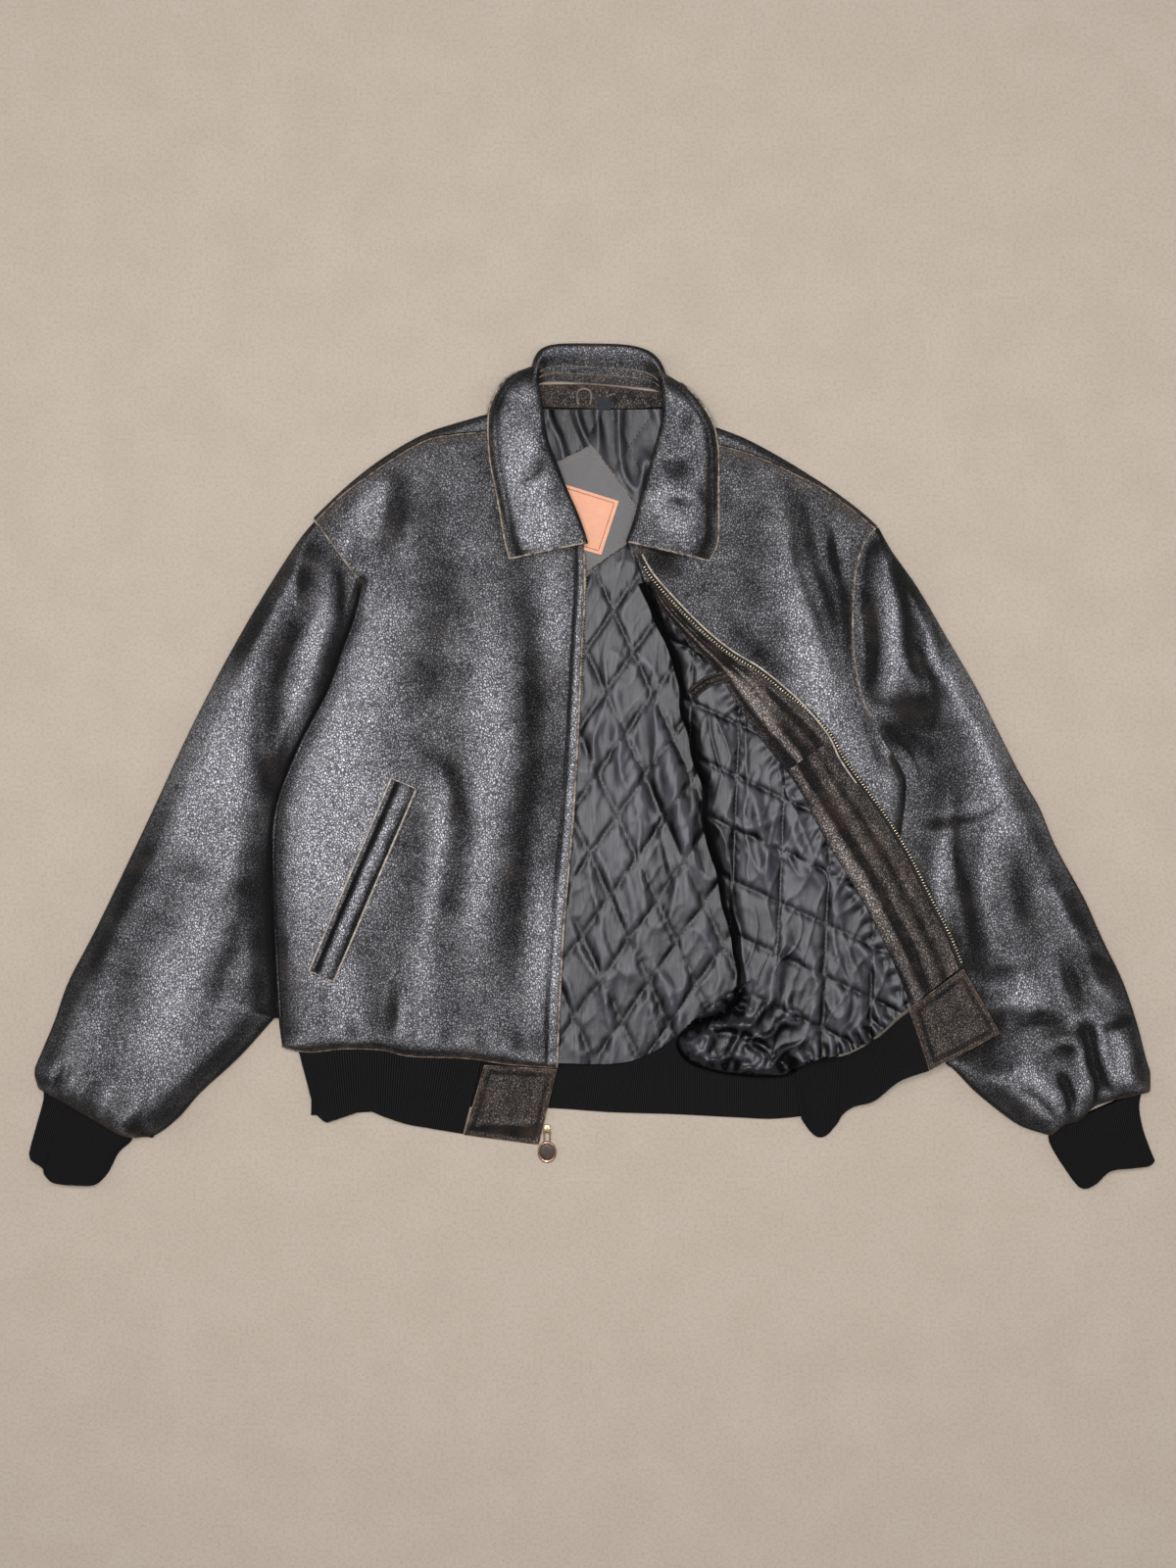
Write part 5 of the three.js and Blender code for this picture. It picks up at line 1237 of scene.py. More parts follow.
def repeated(name, shape, places, material):
    """Copies of a small shape at places, each a point with a forward and a side direction, in one mesh."""
    points, faces = shape
    origins, forward, side = (np.asarray(p) for p in places)
    forward = forward / np.linalg.norm(forward, axis=1)[:, None]
    up = np.cross(side, forward)
    up /= np.linalg.norm(up, axis=1)[:, None]
    side = np.cross(forward, up)
    axes = np.stack([side, forward, up], axis=1)
    verts = origins[:, None, :] + np.einsum("pk,nkc->npc", points, axes)
    count = len(points)
    mesh = bpy.data.meshes.new(name)
    mesh.from_pydata((verts.reshape(-1, 3) * MM).tolist(), [],
                     [[i + n * count for i in f] for n in range(len(origins)) for f in faces])
    mesh.polygons.foreach_set("use_smooth", np.ones(len(mesh.polygons), bool))
    return finished(name, mesh, material)


def raised(line, height, lift=0.0, step=3.0):
    """Points along a plan line, lying on a height."""
    x, y = line.at(np.linspace(0, 1, max(2, int(line.length / step)))).T
    return np.stack([x, y, height(x, y) + lift], axis=-1)


def along_path(path, pitch):
    """Points every pitch along a path, with the direction there and a side direction."""
    path = np.asarray(path)
    steps = np.linalg.norm(np.diff(path, axis=0), axis=1)
    reach = np.concatenate([[0], np.cumsum(steps)])
    at = np.arange(0.5 * pitch, reach[-1], pitch)
    points, ahead, behind = (
        np.stack([np.interp(at + step, reach, path[:, k]) for k in range(3)], axis=-1)
        for step in (0, 0.5, -0.5))
    forward = ahead - behind
    side = np.cross(forward, (0, 0, 1.0))
    return points, forward, side


def joined_places(paths, pitch):
    """The points, directions and side directions of several paths, one after the other."""
    found = [along_path(p, pitch) for p in paths]
    return [np.vstack([f[k] for f in found]) for k in range(3)]


def stitch_shape(bm):
    bmesh.ops.create_uvsphere(bm, u_segments=5, v_segments=4, radius=1.0)
    bmesh.ops.scale(bm, vec=STITCH_SIZE, verts=bm.verts[:])


def tooth_shape(bm):
    bmesh.ops.create_cube(bm, size=1.0)
    bmesh.ops.scale(bm, vec=TOOTH_SIZE, verts=bm.verts[:])
    bmesh.ops.bevel(bm, geom=bm.edges[:], offset=TOOTH_ROUND, segments=1, profile=0.5, affect="EDGES",
                    material=-1)


STITCH = small_shape(stitch_shape)
TOOTH = small_shape(tooth_shape)


def stitches(name, paths, material, pitch=STITCH_PITCH):
    return repeated(name, STITCH, joined_places(paths, pitch), material)


def place(obj, slot, *nodes, body="jacket"):
    """Sets a piece on its body, with the solids that it stands for. Its finish's slot is not used."""
    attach(obj, body)
    if nodes:
        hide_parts(*nodes)
    return obj


def sewn(obj, slot, cut, *rests_on, held="laid"):
    place(obj, slot, obj.name.removeprefix(WORN))


# Leather panels


def right_front():
    """The right front with its pocket's opening, from the shoulder seam to the hem."""
    plan = patch(right_top, right_hem, right_flank, front_edge)
    wear = rubbed((right_hem, 0.95, 5), (front_edge, 0.75, 5), (right_top, 0.72, 24), (right_armhole, 0.6, 6),
                  (pocket_line, 0.42, 30), (right_side, 0.35, 14))
    obj = cloth("right_front", 116, 200, over(plan, right_front_height), LEATHER, SHELL, wear, (0.5, 0.35),
                sheen=RIGHT_FRONT_SHEEN)
    sewn(obj, "shell", "right_front", "back_panel", "hem_rib_right")


def left_front():
    """The left front in one cut: the chest, the fold, and the strip turned back over it as far as the zip."""
    chest = patch(left_top, chest_hem, leather_fold, left_flank)
    turned_edge = zip_line.beside(zip_width)
    turned = patch(Line([LEATHER_FOLD[0], (43, 203)]), turned_hem, leather_fold, turned_edge)
    radius = (FOLD_HIGH - FOLD_LOW) / 2
    chest_share, bend_share = 0.76, 0.82

    def shape(u, v):
        down = 1 - v
        points = np.zeros((len(u), 3))
        lying = u <= chest_share
        bend = (u > chest_share) & (u < bend_share)
        over_fold = u >= bend_share
        x, y = chest(1 - u[lying] / chest_share, down[lying]).T
        low = smooth(u[lying] / chest_share, 0.93, 1)
        points[lying] = np.stack([x, y, blend(chest_height(x, y), FOLD_LOW, low)], axis=-1)
        angle = ((u[bend] - chest_share) / (bend_share - chest_share) - 0.5) * PI
        fold = leather_fold.at(down[bend])
        points[bend] = np.stack([fold[:, 0] - radius * np.cos(angle), fold[:, 1],
                                 FOLD_LOW + radius + radius * np.sin(angle)], axis=-1)
        x, y = turned((u[over_fold] - bend_share) / (1 - bend_share), down[over_fold]).T
        rise = eased(nearest(leather_fold, x, y)[0], 18)
        points[over_fold] = np.stack([x, y, blend(FOLD_HIGH, turned_height(x, y), rise)], axis=-1)
        return points

    wear = rubbed((left_top, 0.72, 26), (left_armhole, 0.6, 6), (zip_line, 0.45, 10))
    obj = cloth("left_front", 134, 166, shape, LEATHER, SHELL, wear, (0, 0.2), sheen=CHEST_SHEEN)
    sewn(obj, "shell", "left_front", "back_panel", "hem_rib_back", held="folded")


def back_panel():
    lines = [
        (spline(RIGHT_SHOULDER_FOLD), 24), (spline(BACK_NECK), 30), (spline(LEFT_SHOULDER_FOLD), 24),
        (left_armhole, 30), (left_side, 30), (spline(BACK_HEM).part(1, 0), 40), (right_side.part(1, 0), 50),
        (right_armhole.part(1, 0), 10),
    ]
    obj = slab("back_panel", outline_of(lines), 0, LEATHER, SHELL)
    sewn(obj, "shell", "back_panel", "floor")


def shoulder_strip(side, seam, fold):
    """The back's leather where it comes over the shoulder to the front seam."""
    reach = spline(fold)

    def height(x, y):
        away = nearest(reach, x, y)[0]
        return blend(SIDE_EDGE, SHOULDER_TOP, rolled(away, SHOULDER_ROLL)) + 0.3 * noise(x, y, 18, 5)

    surface = over(between(reach, spline(seam).beside(-STRIP_GAP)), height)
    wear = rubbed((spline(seam), 0.8, 4))
    obj = cloth(side + "_shoulder_strip", 70, 14, lambda u, v: surface(1 - u, v), LEATHER, SHELL, wear,
                (0, 0.3))
    sewn(obj, "shell", "shoulder_strip", "back_panel")


def sleeve(side, top, cuff_line, left, right, height, armhole, sheen):
    """The upper side of a sleeve and the flat under side that it lies on."""
    plan = patch(top, cuff_line, left, right)
    wear = rubbed((cuff_line, 0.95, 8), (armhole, 0.7, 5), (left, 0.3, 14), (right, 0.3, 14))
    obj = cloth(side + "_sleeve_top", 92, 220, over(plan, height), LEATHER, SHELL, wear, (0.5, 0.2),
                sheen=sheen)
    sewn(obj, "shell", "sleeve_top", side + "_sleeve_under", side + "_cuff")
    end = 0.955
    ends = Line([right.at(end), left.at(end)])
    lines = [(top, 12), (right.part(0, end), 60), (ends, 6), (left.part(end, 0), 60)]
    under = slab(side + "_sleeve_under", outline_of(lines), 0, LEATHER, SHELL)
    sewn(under, "shell", "sleeve_under", "floor")


# Knit bands


def rib_wave(count):
    return lambda u: RIB_RELIEF * (0.5 - 0.5 * np.cos(2 * PI * u * count)) ** 0.7


def cuff(side, start, end, left, right):
    """A flattened knit tube: ribs over its upper side, a plain underside."""
    plan = patch(start, end, left, right)
    width = start.length
    ribs = rib_wave(CUFF_RIBS)
    top_share = 0.86

    def shape(u, v):
        on_top = u <= top_share
        across = np.where(on_top, u / top_share, 1 - (u - top_share) / (1 - top_share))
        x, y = plan(across, v).T
        edge = np.minimum(across, 1 - across) * width
        swell = 1.4 * np.sin(PI * np.clip(v * 1.6, 0, 1)) + 0.5 * noise(x, y, 24, 12)
        high = blend(KNIT * 0.6, CUFF_TOP + swell, rolled(edge, CUFF_ROLL)) + ribs(across)
        low = KNIT * 0.5 * (1 - rolled(edge, KNIT * 2))
        return np.stack([x, y, np.where(on_top, high, low)], axis=-1)

    # Painted highlight on the rib crests, kept where the leather keeps its wear
    def crests(x, y, u, v):
        return ribs(u / top_share) / RIB_RELIEF * (u <= top_share)

    obj = cloth(side + "_cuff", 320, 14, shape, KNIT * 0.5, RIB, crests)
    sewn(obj, "knit", "cuff", "floor")


def rib_band(name, high, low, base, from_share, to_share, *rests_on):
    """A flat band of rib knit, with its ribs over the stretch that shows."""
    high, low = spline(high), spline(low)
    count = round(low.length * (to_share - from_share) / RIB_PITCH)
    ribs = rib_wave(count)
    plan = between(high, low)

    def shape(u, v):
        x, y = plan(u, v).T
        share = (u - from_share) / (to_share - from_share)
        shown = (share >= 0) & (share <= 1)
        crest = np.where(shown, ribs(share), 0) * smooth(1 - v, 0, 0.05)
        wave = 0.7 * noise(x, y, 40, 14) * smooth(v, 0.1, 0.5)
        return np.stack([x, y, base(x, y) + KNIT + crest + wave], axis=-1)

    # Painted highlight on the rib crests, kept where the leather keeps its wear
    def crests(x, y, u, v):
        return ribs((u - from_share) / (to_share - from_share)) / RIB_RELIEF

    obj = cloth(name, 6 * count, 10, shape, KNIT * 0.8, RIB, crests)
    sewn(obj, "knit", name, *rests_on)


def hem_ribs():
    """The three stretches of the hem knit that show."""

    def over_seam(x, y):
        return 1.8 * smooth(y, -295, -287)

    rib_band("hem_rib_back", BACK_RIB_HIGH, BACK_RIB_LOW, over_seam, 0.43, 0.95, "floor")
    rib_band("hem_rib_right", RIGHT_RIB_HIGH, RIGHT_RIB_LOW, over_back, 0, 1, "hem_rib_back")
    rib_band("hem_rib_left", LEFT_RIB_HIGH, LEFT_RIB_LOW, over_sleeve, 0, 1, "hem_rib_back", "left_front")


def hem_tab(side, corners, base, rests_on):
    """A leather tab at the front end of the hem knit. It gives the path of the stitches round its edge."""
    a, b, c, d = corners
    edges = [Line([a, b]), Line([b, c]), Line([c, d]), Line([d, a])]
    plan = patch(edges[0], Line([d, c]), Line([a, d]), edges[1])

    def height(x, y):
        inset = np.min([nearest(e, x, y, 4)[0] for e in edges], axis=0)
        groove = -0.8 * bell(inset, TAB_INSET, 1.6)
        pillow = 0.9 * smooth(inset, TAB_INSET, 3 * TAB_INSET)
        return base(x, y) + TAB - 0.8 * np.exp(-inset / 1.2) + groove + pillow + 0.35 * noise(x, y, 16, 33)

    wear = rubbed(*[(e, 0.95, 4) for e in edges])
    obj = cloth(side + "_hem_tab", 50, 56, over(plan, height), TAB * 0.9, FACING_LEATHER, wear, (0.3, 0.3))
    sewn(obj, "facing", "hem_tab", rests_on)
    x, y = inset_loop(corners, TAB_INSET * math.sqrt(2), 120).T
    return np.stack([x, y, height(x, y) + 0.15], axis=-1)


# Linings and facings


def left_lining():
    """The turned front's lining. It gives the rows of its quilting."""
    top = Line([FOLD_EDGE[0], (FACING_EDGE[0][0] - SEAM, FACING_EDGE[0][1])])
    plan = patch(top, spline(LEFT_LINING_HEM), lining_rim, facing_edge.beside(2 * SEAM))

    def shape(u, v):
        points = over(plan, turned_lining_height)(u, v)
        points[:, 0] += 3.5 * noise(points[:, 1], points[:, 0] * 0.2, 30, 77) * (1 - smooth(u, 0, 0.3))
        return points

    obj = cloth("left_lining", 100, 250, shape, LINING, NYLON, None, (0.25, 0.1), relief=0.7,
                sheen=LINING_SHADE)
    sewn(obj, "lining", "left_lining", "left_front")
    outline = chain(lining_rim, spline(LEFT_LINING_HEM), facing_edge.part(1, 0)).at(np.linspace(0, 1, 160))
    return quilting_rows(TURNED_QUILT, outline, turned_lining_height)


def back_lining():
    """The back's lining, as far as it shows. It gives the rows of its quilting."""
    left = [(-76, 345), (-78, 300), (-62, 240)] + [(x - 40, y) for x, y in RIGHT_FRONT_EDGE[1:-1]]
    right = [(88, 345), (92, 300), (78, 240), (80, 180)] + [(x + 38, y) for x, y in FOLD_EDGE[1:]]
    hem = spline(BACK_LINING_HEM)
    left_edge, right_edge = spline(left + BACK_LINING_HEM[:1]), spline(right + BACK_LINING_HEM[-1:])
    plan = patch(Line([left[0], right[0]]), hem, left_edge, right_edge)
    obj = cloth("back_lining", 92, 250, over(plan, back_lining_height), LINING, NYLON, None, (0, 0.1),
                relief=0.7, sheen=LINING_SHADE)
    sewn(obj, "lining", "back_lining", "back_panel")
    outline = chain(left_edge, hem, right_edge.part(1, 0)).at(np.linspace(0, 1, 200))
    return quilting_rows(BACK_QUILT, outline, back_lining_height)


def inside(outline, x, y):
    """Which points lie inside a closed outline."""
    found = np.zeros(np.shape(x), bool)
    for (ax, ay), (bx, by) in zip(outline, np.roll(outline, -1, axis=0)):
        crosses = (ay > y) != (by > y)
        with np.errstate(divide="ignore", invalid="ignore"):
            found ^= crosses & (x < (bx - ax) * (y - ay) / (by - ay) + ax)
    return found


def quilting_rows(pattern, outline, height):
    """The stitched lines of a quilted lining, cut where they leave its outline."""
    origin, a, b = (np.asarray(v, float) for v in pattern)
    p, q = quilt_shares(pattern, *np.asarray(outline).T)
    rows = []
    for step, run, across, along in ((a, b, p, q), (b, a, q, p)):
        for line in range(math.ceil(across.min()), math.floor(across.max()) + 1):
            t = np.linspace(along.min(), along.max(), int(np.ptp(along) * np.hypot(*run) / 2))
            x, y = (origin + line * step + t[:, None] * run).T
            within = inside(outline, x, y)
            for piece in np.split(np.arange(len(t)), np.flatnonzero(np.diff(within.astype(int))) + 1):
                if within[piece[0]] and len(piece) > 8:
                    at = piece[3:-3]
                    rows.append(np.stack([x[at], y[at], height(x[at], y[at]) + 0.1], axis=-1))
    return rows


def facing(name, start, end):
    """One length of the facing between the lining and the zip."""
    edge = zip_line.beside(lambda t: zip_width(t) + 0.5).part(0.07, 1)
    upper = start == 0
    plan = between(facing_edge.part(start, end), edge.part(start, end))

    def shape(u, v):
        x, y = plan(v, u).T
        return np.stack([x, y, facing_height(x, y, u, v, upper)], axis=-1)

    wear = rubbed((facing_edge, 0.3, 4), (zip_line, 0.42, 7))
    obj = cloth(name, 40, 120, shape, FACING, FACING_LEATHER, wear, (0.3, 0), relief=0.9, sheen=FACING_SHEEN)
    sewn(obj, "facing", name, "left_front")


def inner_pocket_welt():
    """A short welt on the turned lining. It gives the paths of its two rows of stitches."""
    path = spline(INNER_WELT)
    plan = between(path, path.beside(INNER_WELT_WIDTH))

    def height(x, y):
        away = nearest(path.beside(INNER_WELT_WIDTH / 2), x, y)[0]
        lip = 1.2 * bell(away, 4, 1.6)
        lining = turned_height(x, y) + LEATHER + LAYER_SEAT + LINING + QUILT_PUFF * 0.7
        return lining + LEATHER + lip + 0.6 * noise(x, y, 7, 44)

    wear = rubbed((path, 0.6, 2), (path.beside(INNER_WELT_WIDTH), 0.6, 2))
    obj = cloth("inner_pocket_welt", 40, 16, over(plan, height), LEATHER, FACING_LEATHER, wear)
    sewn(obj, "facing", "inner_pocket_welt", "left_lining")
    return [raised(path.beside(inset), height, 0.2, 2) for inset in (2, INNER_WELT_WIDTH - 2)]


def pocket_piece(name, start, end, thickness):
    """The welt of the pocket's opening, or the narrow jet beside it."""

    def lengthwise(share):
        return pocket_line.beside((share - 0.5) * POCKET_WIDTH)

    plan = between(lengthwise(start), lengthwise(end))

    def shape(u, v):
        x, y = plan(1 - u, v).T
        round_top = thickness * (0.35 + 0.65 * np.sin(PI * v))
        pucker = 0.35 * noise(x, y, 9, 55)
        return np.stack([x, y, right_front_height(x, y) + POCKET_SEAT + round_top + pucker], axis=-1)

    # Painted highlight along the welt's crown and painted shade along its rim
    crown, rim = (lengthwise(share).at(np.linspace(-0.02, 1.02, 5)) for share in WELT_LIGHT)
    light = [(crown, 2.4, 1.0), (rim, 2.2, -1.2)]
    obj = cloth(name, 90, 12, shape, WELT_LEATHER, SHELL, lambda x, y, u, v: WELT_WEAR + 0 * x, sheen=light)
    sewn(obj, "facing", name, "right_front")


# Collar and neck


def collar_points(u, v):
    """Points of the collar: u runs round the neck and v from the fall's edge to the neck seam."""
    index = u * (len(COLLAR_ROLL) - 1)

    def read(knots, ahead=0.0):
        points = spline(knots, COLLAR_STEPS).points
        at = (index + ahead) * COLLAR_STEPS
        return np.stack([np.interp(at, np.arange(len(points)), points[:, k]) for k in (0, 1)], axis=-1)

    seam, roll, edge = (read(knots) for knots in (COLLAR_SEAM, COLLAR_ROLL, COLLAR_EDGE))
    along = read(COLLAR_ROLL, 0.2) - read(COLLAR_ROLL, -0.2)
    along /= np.linalg.norm(along, axis=1)[:, None]
    out = np.stack([-along[:, 1], along[:, 0]], axis=-1)
    back = 1 - smooth(np.abs(u - COLLAR_BACK), *COLLAR_TUCK)
    knots = []
    for start, share, leaf, tucked in COLLAR_SECTION:
        plan = blend(seam, roll, share) if start == "seam" else blend(roll, edge, share)
        plan = plan + out * blend(leaf[0], tucked[0], back)[:, None]
        knots.append(np.column_stack([plan, blend(leaf[1], tucked[1], back)]))
    knots = np.stack([knots[0], *knots, knots[-1]])
    s = (1 - v) * (len(COLLAR_SECTION) - 1)
    k = np.minimum(s.astype(int), len(COLLAR_SECTION) - 2)
    t = (s - k)[:, None]
    points = eased_curve(*(knots[k + i, np.arange(len(u))] for i in range(4)), t)
    return points, back


def collar_inset(x, y, u):
    """How far points of the collar lie from its outer edge and its two ends."""
    return np.minimum(nearest(spline(COLLAR_EDGE), x, y)[0], np.minimum(u, 1 - u) * COLLAR_LENGTH)


def collar_shape(u, v):
    """The collar where it lies on the fronts, with its creases and the groove of its edge's seam."""
    points, back = collar_points(u, v)
    x, y, z = points.T
    on_front = np.where(x < 0, right_front_height(x, y), chest_height(x, y)) + COLLAR_CLOTH + 0.6
    falls = 1 - smooth(v, 0.1, 0.45)
    z = np.where(back < 0.5, np.maximum(z, blend(0, on_front, (1 - back) * falls)), z)
    inset = collar_inset(x, y, u)
    groove = -0.9 * bell(inset, COLLAR_INSET, 1.7) * (1 - back) * falls
    body = creased(COLLAR_CREASES, x, y) + 0.8 * noise(x, y, 26, 66) + 0.4 * noise(x, y, 11, 67)
    z = z + body * (1 - 0.6 * back) * smooth(inset, 6, 20) + groove
    return np.stack([x, y, z], axis=-1)


def collar():
    def wear(x, y, u, v):
        return np.maximum(0.8 * np.exp(-collar_inset(x, y, u) / 5), 0.5 * smooth(v, 0.8, 1))

    obj = cloth("collar", 230, 64, collar_shape, COLLAR_CLOTH, SHELL, wear, (0.15, 0.2), sheen=COLLAR_SHEEN)
    sewn(obj, "shell", "collar", "right_front", "left_front", "back_panel", held="folded")


def collar_path(u, v, lift):
    """A path over the collar, where one of u and v may be a single share."""
    u, v = np.broadcast_arrays(np.asarray(u, float), np.asarray(v, float))
    return collar_shape(u, v) + np.array([0, 0, lift])


def collar_leaves(ring, gap):
    """The shares round the neck that belong to the right leaf and to the left one."""
    return ring[ring < COLLAR_BACK - gap], ring[ring > COLLAR_BACK + gap]


def neck_facing():
    plan = between(spline(NECK_FACING_HIGH), spline(NECK_FACING_LOW))

    def height(x, y):
        crumple = 0.9 * (1 - np.abs(noise(x, y, 13, 101))) ** 2 + 0.6 * noise(x, y, 7, 102)
        return NECK_FACING_TOP + crumple - 0.4

    wear = rubbed((spline(NECK_FACING_LOW), 0.6, 6), (spline(NECK_FACING_HIGH), 0.75, 6))
    obj = cloth("neck_facing", 90, 18, over(plan, height), LEATHER, FACING_LEATHER, wear)
    sewn(obj, "facing", "neck_facing", "back_lining")


def pinked(corners, pitch=2.6, depth=0.8):
    """An outline cut with pinking shears."""
    p = np.asarray(corners, float)
    loop = Line(np.vstack([p, p[:1]]))
    count = 2 * round(loop.length / pitch / 2)
    points = loop.at(np.arange(count) / count)
    middle = p.mean(axis=0)
    inward = (middle - points) / np.linalg.norm(middle - points, axis=1)[:, None]
    return points + inward * depth * (np.arange(count) % 2)[:, None]


def neck_pieces():
    """The patch, the tan label on it, the small woven label and the hanger loop."""
    outline = pinked(NECK_PATCH)
    top = PATCH_LOW + PATCH
    sewn(slab("neck_patch", outline, PATCH_LOW, top, GREY_LEATHER), "patch", "neck_patch", "back_lining")
    edge = at_level(np.vstack([outline, outline[:1]]), top - 0.1)
    place(tubes("neck_patch_edge", [edge], 0.55, DULL_EDGE), "patch")
    row = at_level(inset_loop(NECK_PATCH, PATCH_INSET, 160), top)
    place(stitches("neck_patch_stitches", [row], PALE_THREAD, PATCH_PITCH), "patch")
    low, high = top + SEAM, top + SEAM + PATCH
    sewn(slab("neck_label", LABEL, low, high, TAN_LEATHER), "label", "neck_label", "neck_patch")
    row = at_level(inset_loop(LABEL, LABEL_INSET, 160), high)
    place(stitches("neck_label_stitches", [row], RUST_THREAD, LABEL_PITCH), "label")
    low = NECK_FACING_TOP + SEAM + 0.5
    sewn(slab("size_label", SIZE_LABEL, low, low + WOVEN, WOVEN_LABEL), "woven", "size_label", "neck_facing")
    path = at_level(spline(HANGER_LOOP).points, NECK_FACING_TOP + 1.9)
    place(tubes("hanger_loop", [path], 1.3, STRAP, 2), "facing", "hanger_loop")


# Zip


def teeth_offset(t):
    """How far the teeth lie from the zip line: on the far side of the tape, then on the near one."""
    return blend(4.6, 1.2, smooth(t, 0.36, 0.5))


def zip_tapes():
    """Both tapes, and the teeth that show on the turned side and beside the right front's edge."""

    def left_level(x, y):
        return turned_height(x, y) + ZIP_CLOTH - ZIP_SINK

    def right_level(x, y):
        return PATCH_LOW + ZIP_CLOTH - ZIP_SINK + 0 * x

    inner = zip_line.beside(lambda t: zip_width(t) - 0.5)
    left = cloth("zip_left", 240, 6, over(between(zip_line, inner), left_level), ZIP_TAPE, TAPE)
    sewn(left, "brass", "zip_left", "left_front")
    hidden = front_edge.part(0.065, 0.95).beside(-1.5)
    right = cloth("zip_right", 200, 4, over(between(hidden, hidden.beside(9)), right_level), ZIP_TAPE, TAPE)
    sewn(right, "brass", "zip_right", "back_lining")
    left_path = raised(zip_line.beside(teeth_offset).part(0.02, 0.995), turned_height, ZIP_CLOTH + 0.4)
    right_path = at_level(front_edge.part(0.03, 0.3).beside(-0.8).points, FRONT_EDGE - 3.0)
    teeth = joined_places([left_path, right_path], TOOTH_PITCH)
    place(repeated("zip_teeth", TOOTH, teeth, ZIP_METAL), "brass")


def tilted(points):
    """Points of the pull in its own frame, set on its hinge."""
    turn = np.array(Matrix.Rotation(PULL_SLOPE, 3, "X"))
    hinge = np.array(SLIDER_AT) + (0, 0.3, SLIDER_HEIGHT + 1.4)
    return np.asarray(points) @ turn.T + hinge


def zip_slider():
    """The slider's body and the bridge on it that carries the pull."""
    bm = bmesh.new()
    face = bm.faces.new([bm.verts.new((x, y, 0)) for x, y in reversed(SLIDER_PLAN)])
    top = bmesh.ops.extrude_face_region(bm, geom=[face])
    bmesh.ops.translate(bm, verts=[v for v in top["geom"] if isinstance(v, bmesh.types.BMVert)],
                        vec=(0, 0, SLIDER_HEIGHT))
    bmesh.ops.recalc_face_normals(bm, faces=bm.faces[:])
    bmesh.ops.bevel(bm, geom=bm.edges[:], offset=0.5, segments=3, profile=0.5, affect="EDGES", material=-1)
    for vert in bm.verts:
        vert.co = (vert.co + Vector(SLIDER_AT)) * MM
    place(to_object("zip_slider", bm, BRASS, 0.7), "brass", "zip_slider")
    path = spline(SLIDER_ARCH, 6).points
    bridge = np.column_stack([np.zeros(len(path)), path]) + np.array(SLIDER_AT) + (0, 0, SLIDER_HEIGHT)
    place(tubes("slider_bridge", [bridge], 0.6, BRASS, 2), "brass")


def zip_pull():
    """A brass link on the hinge and an oval pull with a copper rim round a dark inlay."""
    bar = at_level([PULL_LINK[0], PULL_LINK[-1]], 0)
    link = at_level(spline(PULL_LINK, 8).points, 0)
    obj = tubes("zip_pull", [tilted(bar), tilted(link)], 0.75, BRASS, 2)
    place(obj, "brass", "zip_pull", body="pull")
    centre = np.array((0, -PULL_ARM - PULL_DISC[1] + 2.6, 0))
    place(disc("pull_rim", centre, PULL_RIM_RINGS, COPPER), "brass", body="pull")
    place(disc("pull_inlay", centre, PULL_INLAY_RINGS, DARK_INLAY), "brass", body="pull")


def disc(name, centre, rings, material):
    """An oval disc, turned from rings of a share of its size and of its thickness."""
    bm = bmesh.new()
    angles = np.linspace(0, 2 * PI, 48, endpoint=False)
    rows = []
    for share, level in rings:
        x, y = share * PULL_DISC[0] * np.cos(angles), share * PULL_DISC[1] * np.sin(angles)
        ring = at_level(np.stack([x, y], axis=-1), level * PULL_THICKNESS)
        rows.append([bm.verts.new(point) for point in tilted(ring + centre) * MM])
    for low, high in zip(rows, rows[1:]):
        for i in range(len(angles)):
            bm.faces.new((low[i - 1], low[i], high[i], high[i - 1]))
    bm.faces.new(rows[0][::-1])
    bm.faces.new(rows[-1])
    return to_object(name, bm, material, 0.8)


# Trim: rubbed edges and sewing, with the radius of each edge and the rows beside a seam
COLLAR_EDGE_ROUND = 1.1
FRONT_EDGE_ROUND = 1.25
PIPING_ROUND = 1.0
POCKET_EDGE_ROUND = 1.2
SEAM_EDGE_ROUND = 0.8
STAND_SEAM_ROUND = 0.5
SEAM_ROWS = (2.5, 8.5)
RIGHT_ARMHOLE_ROWS = (-2.5, -9)


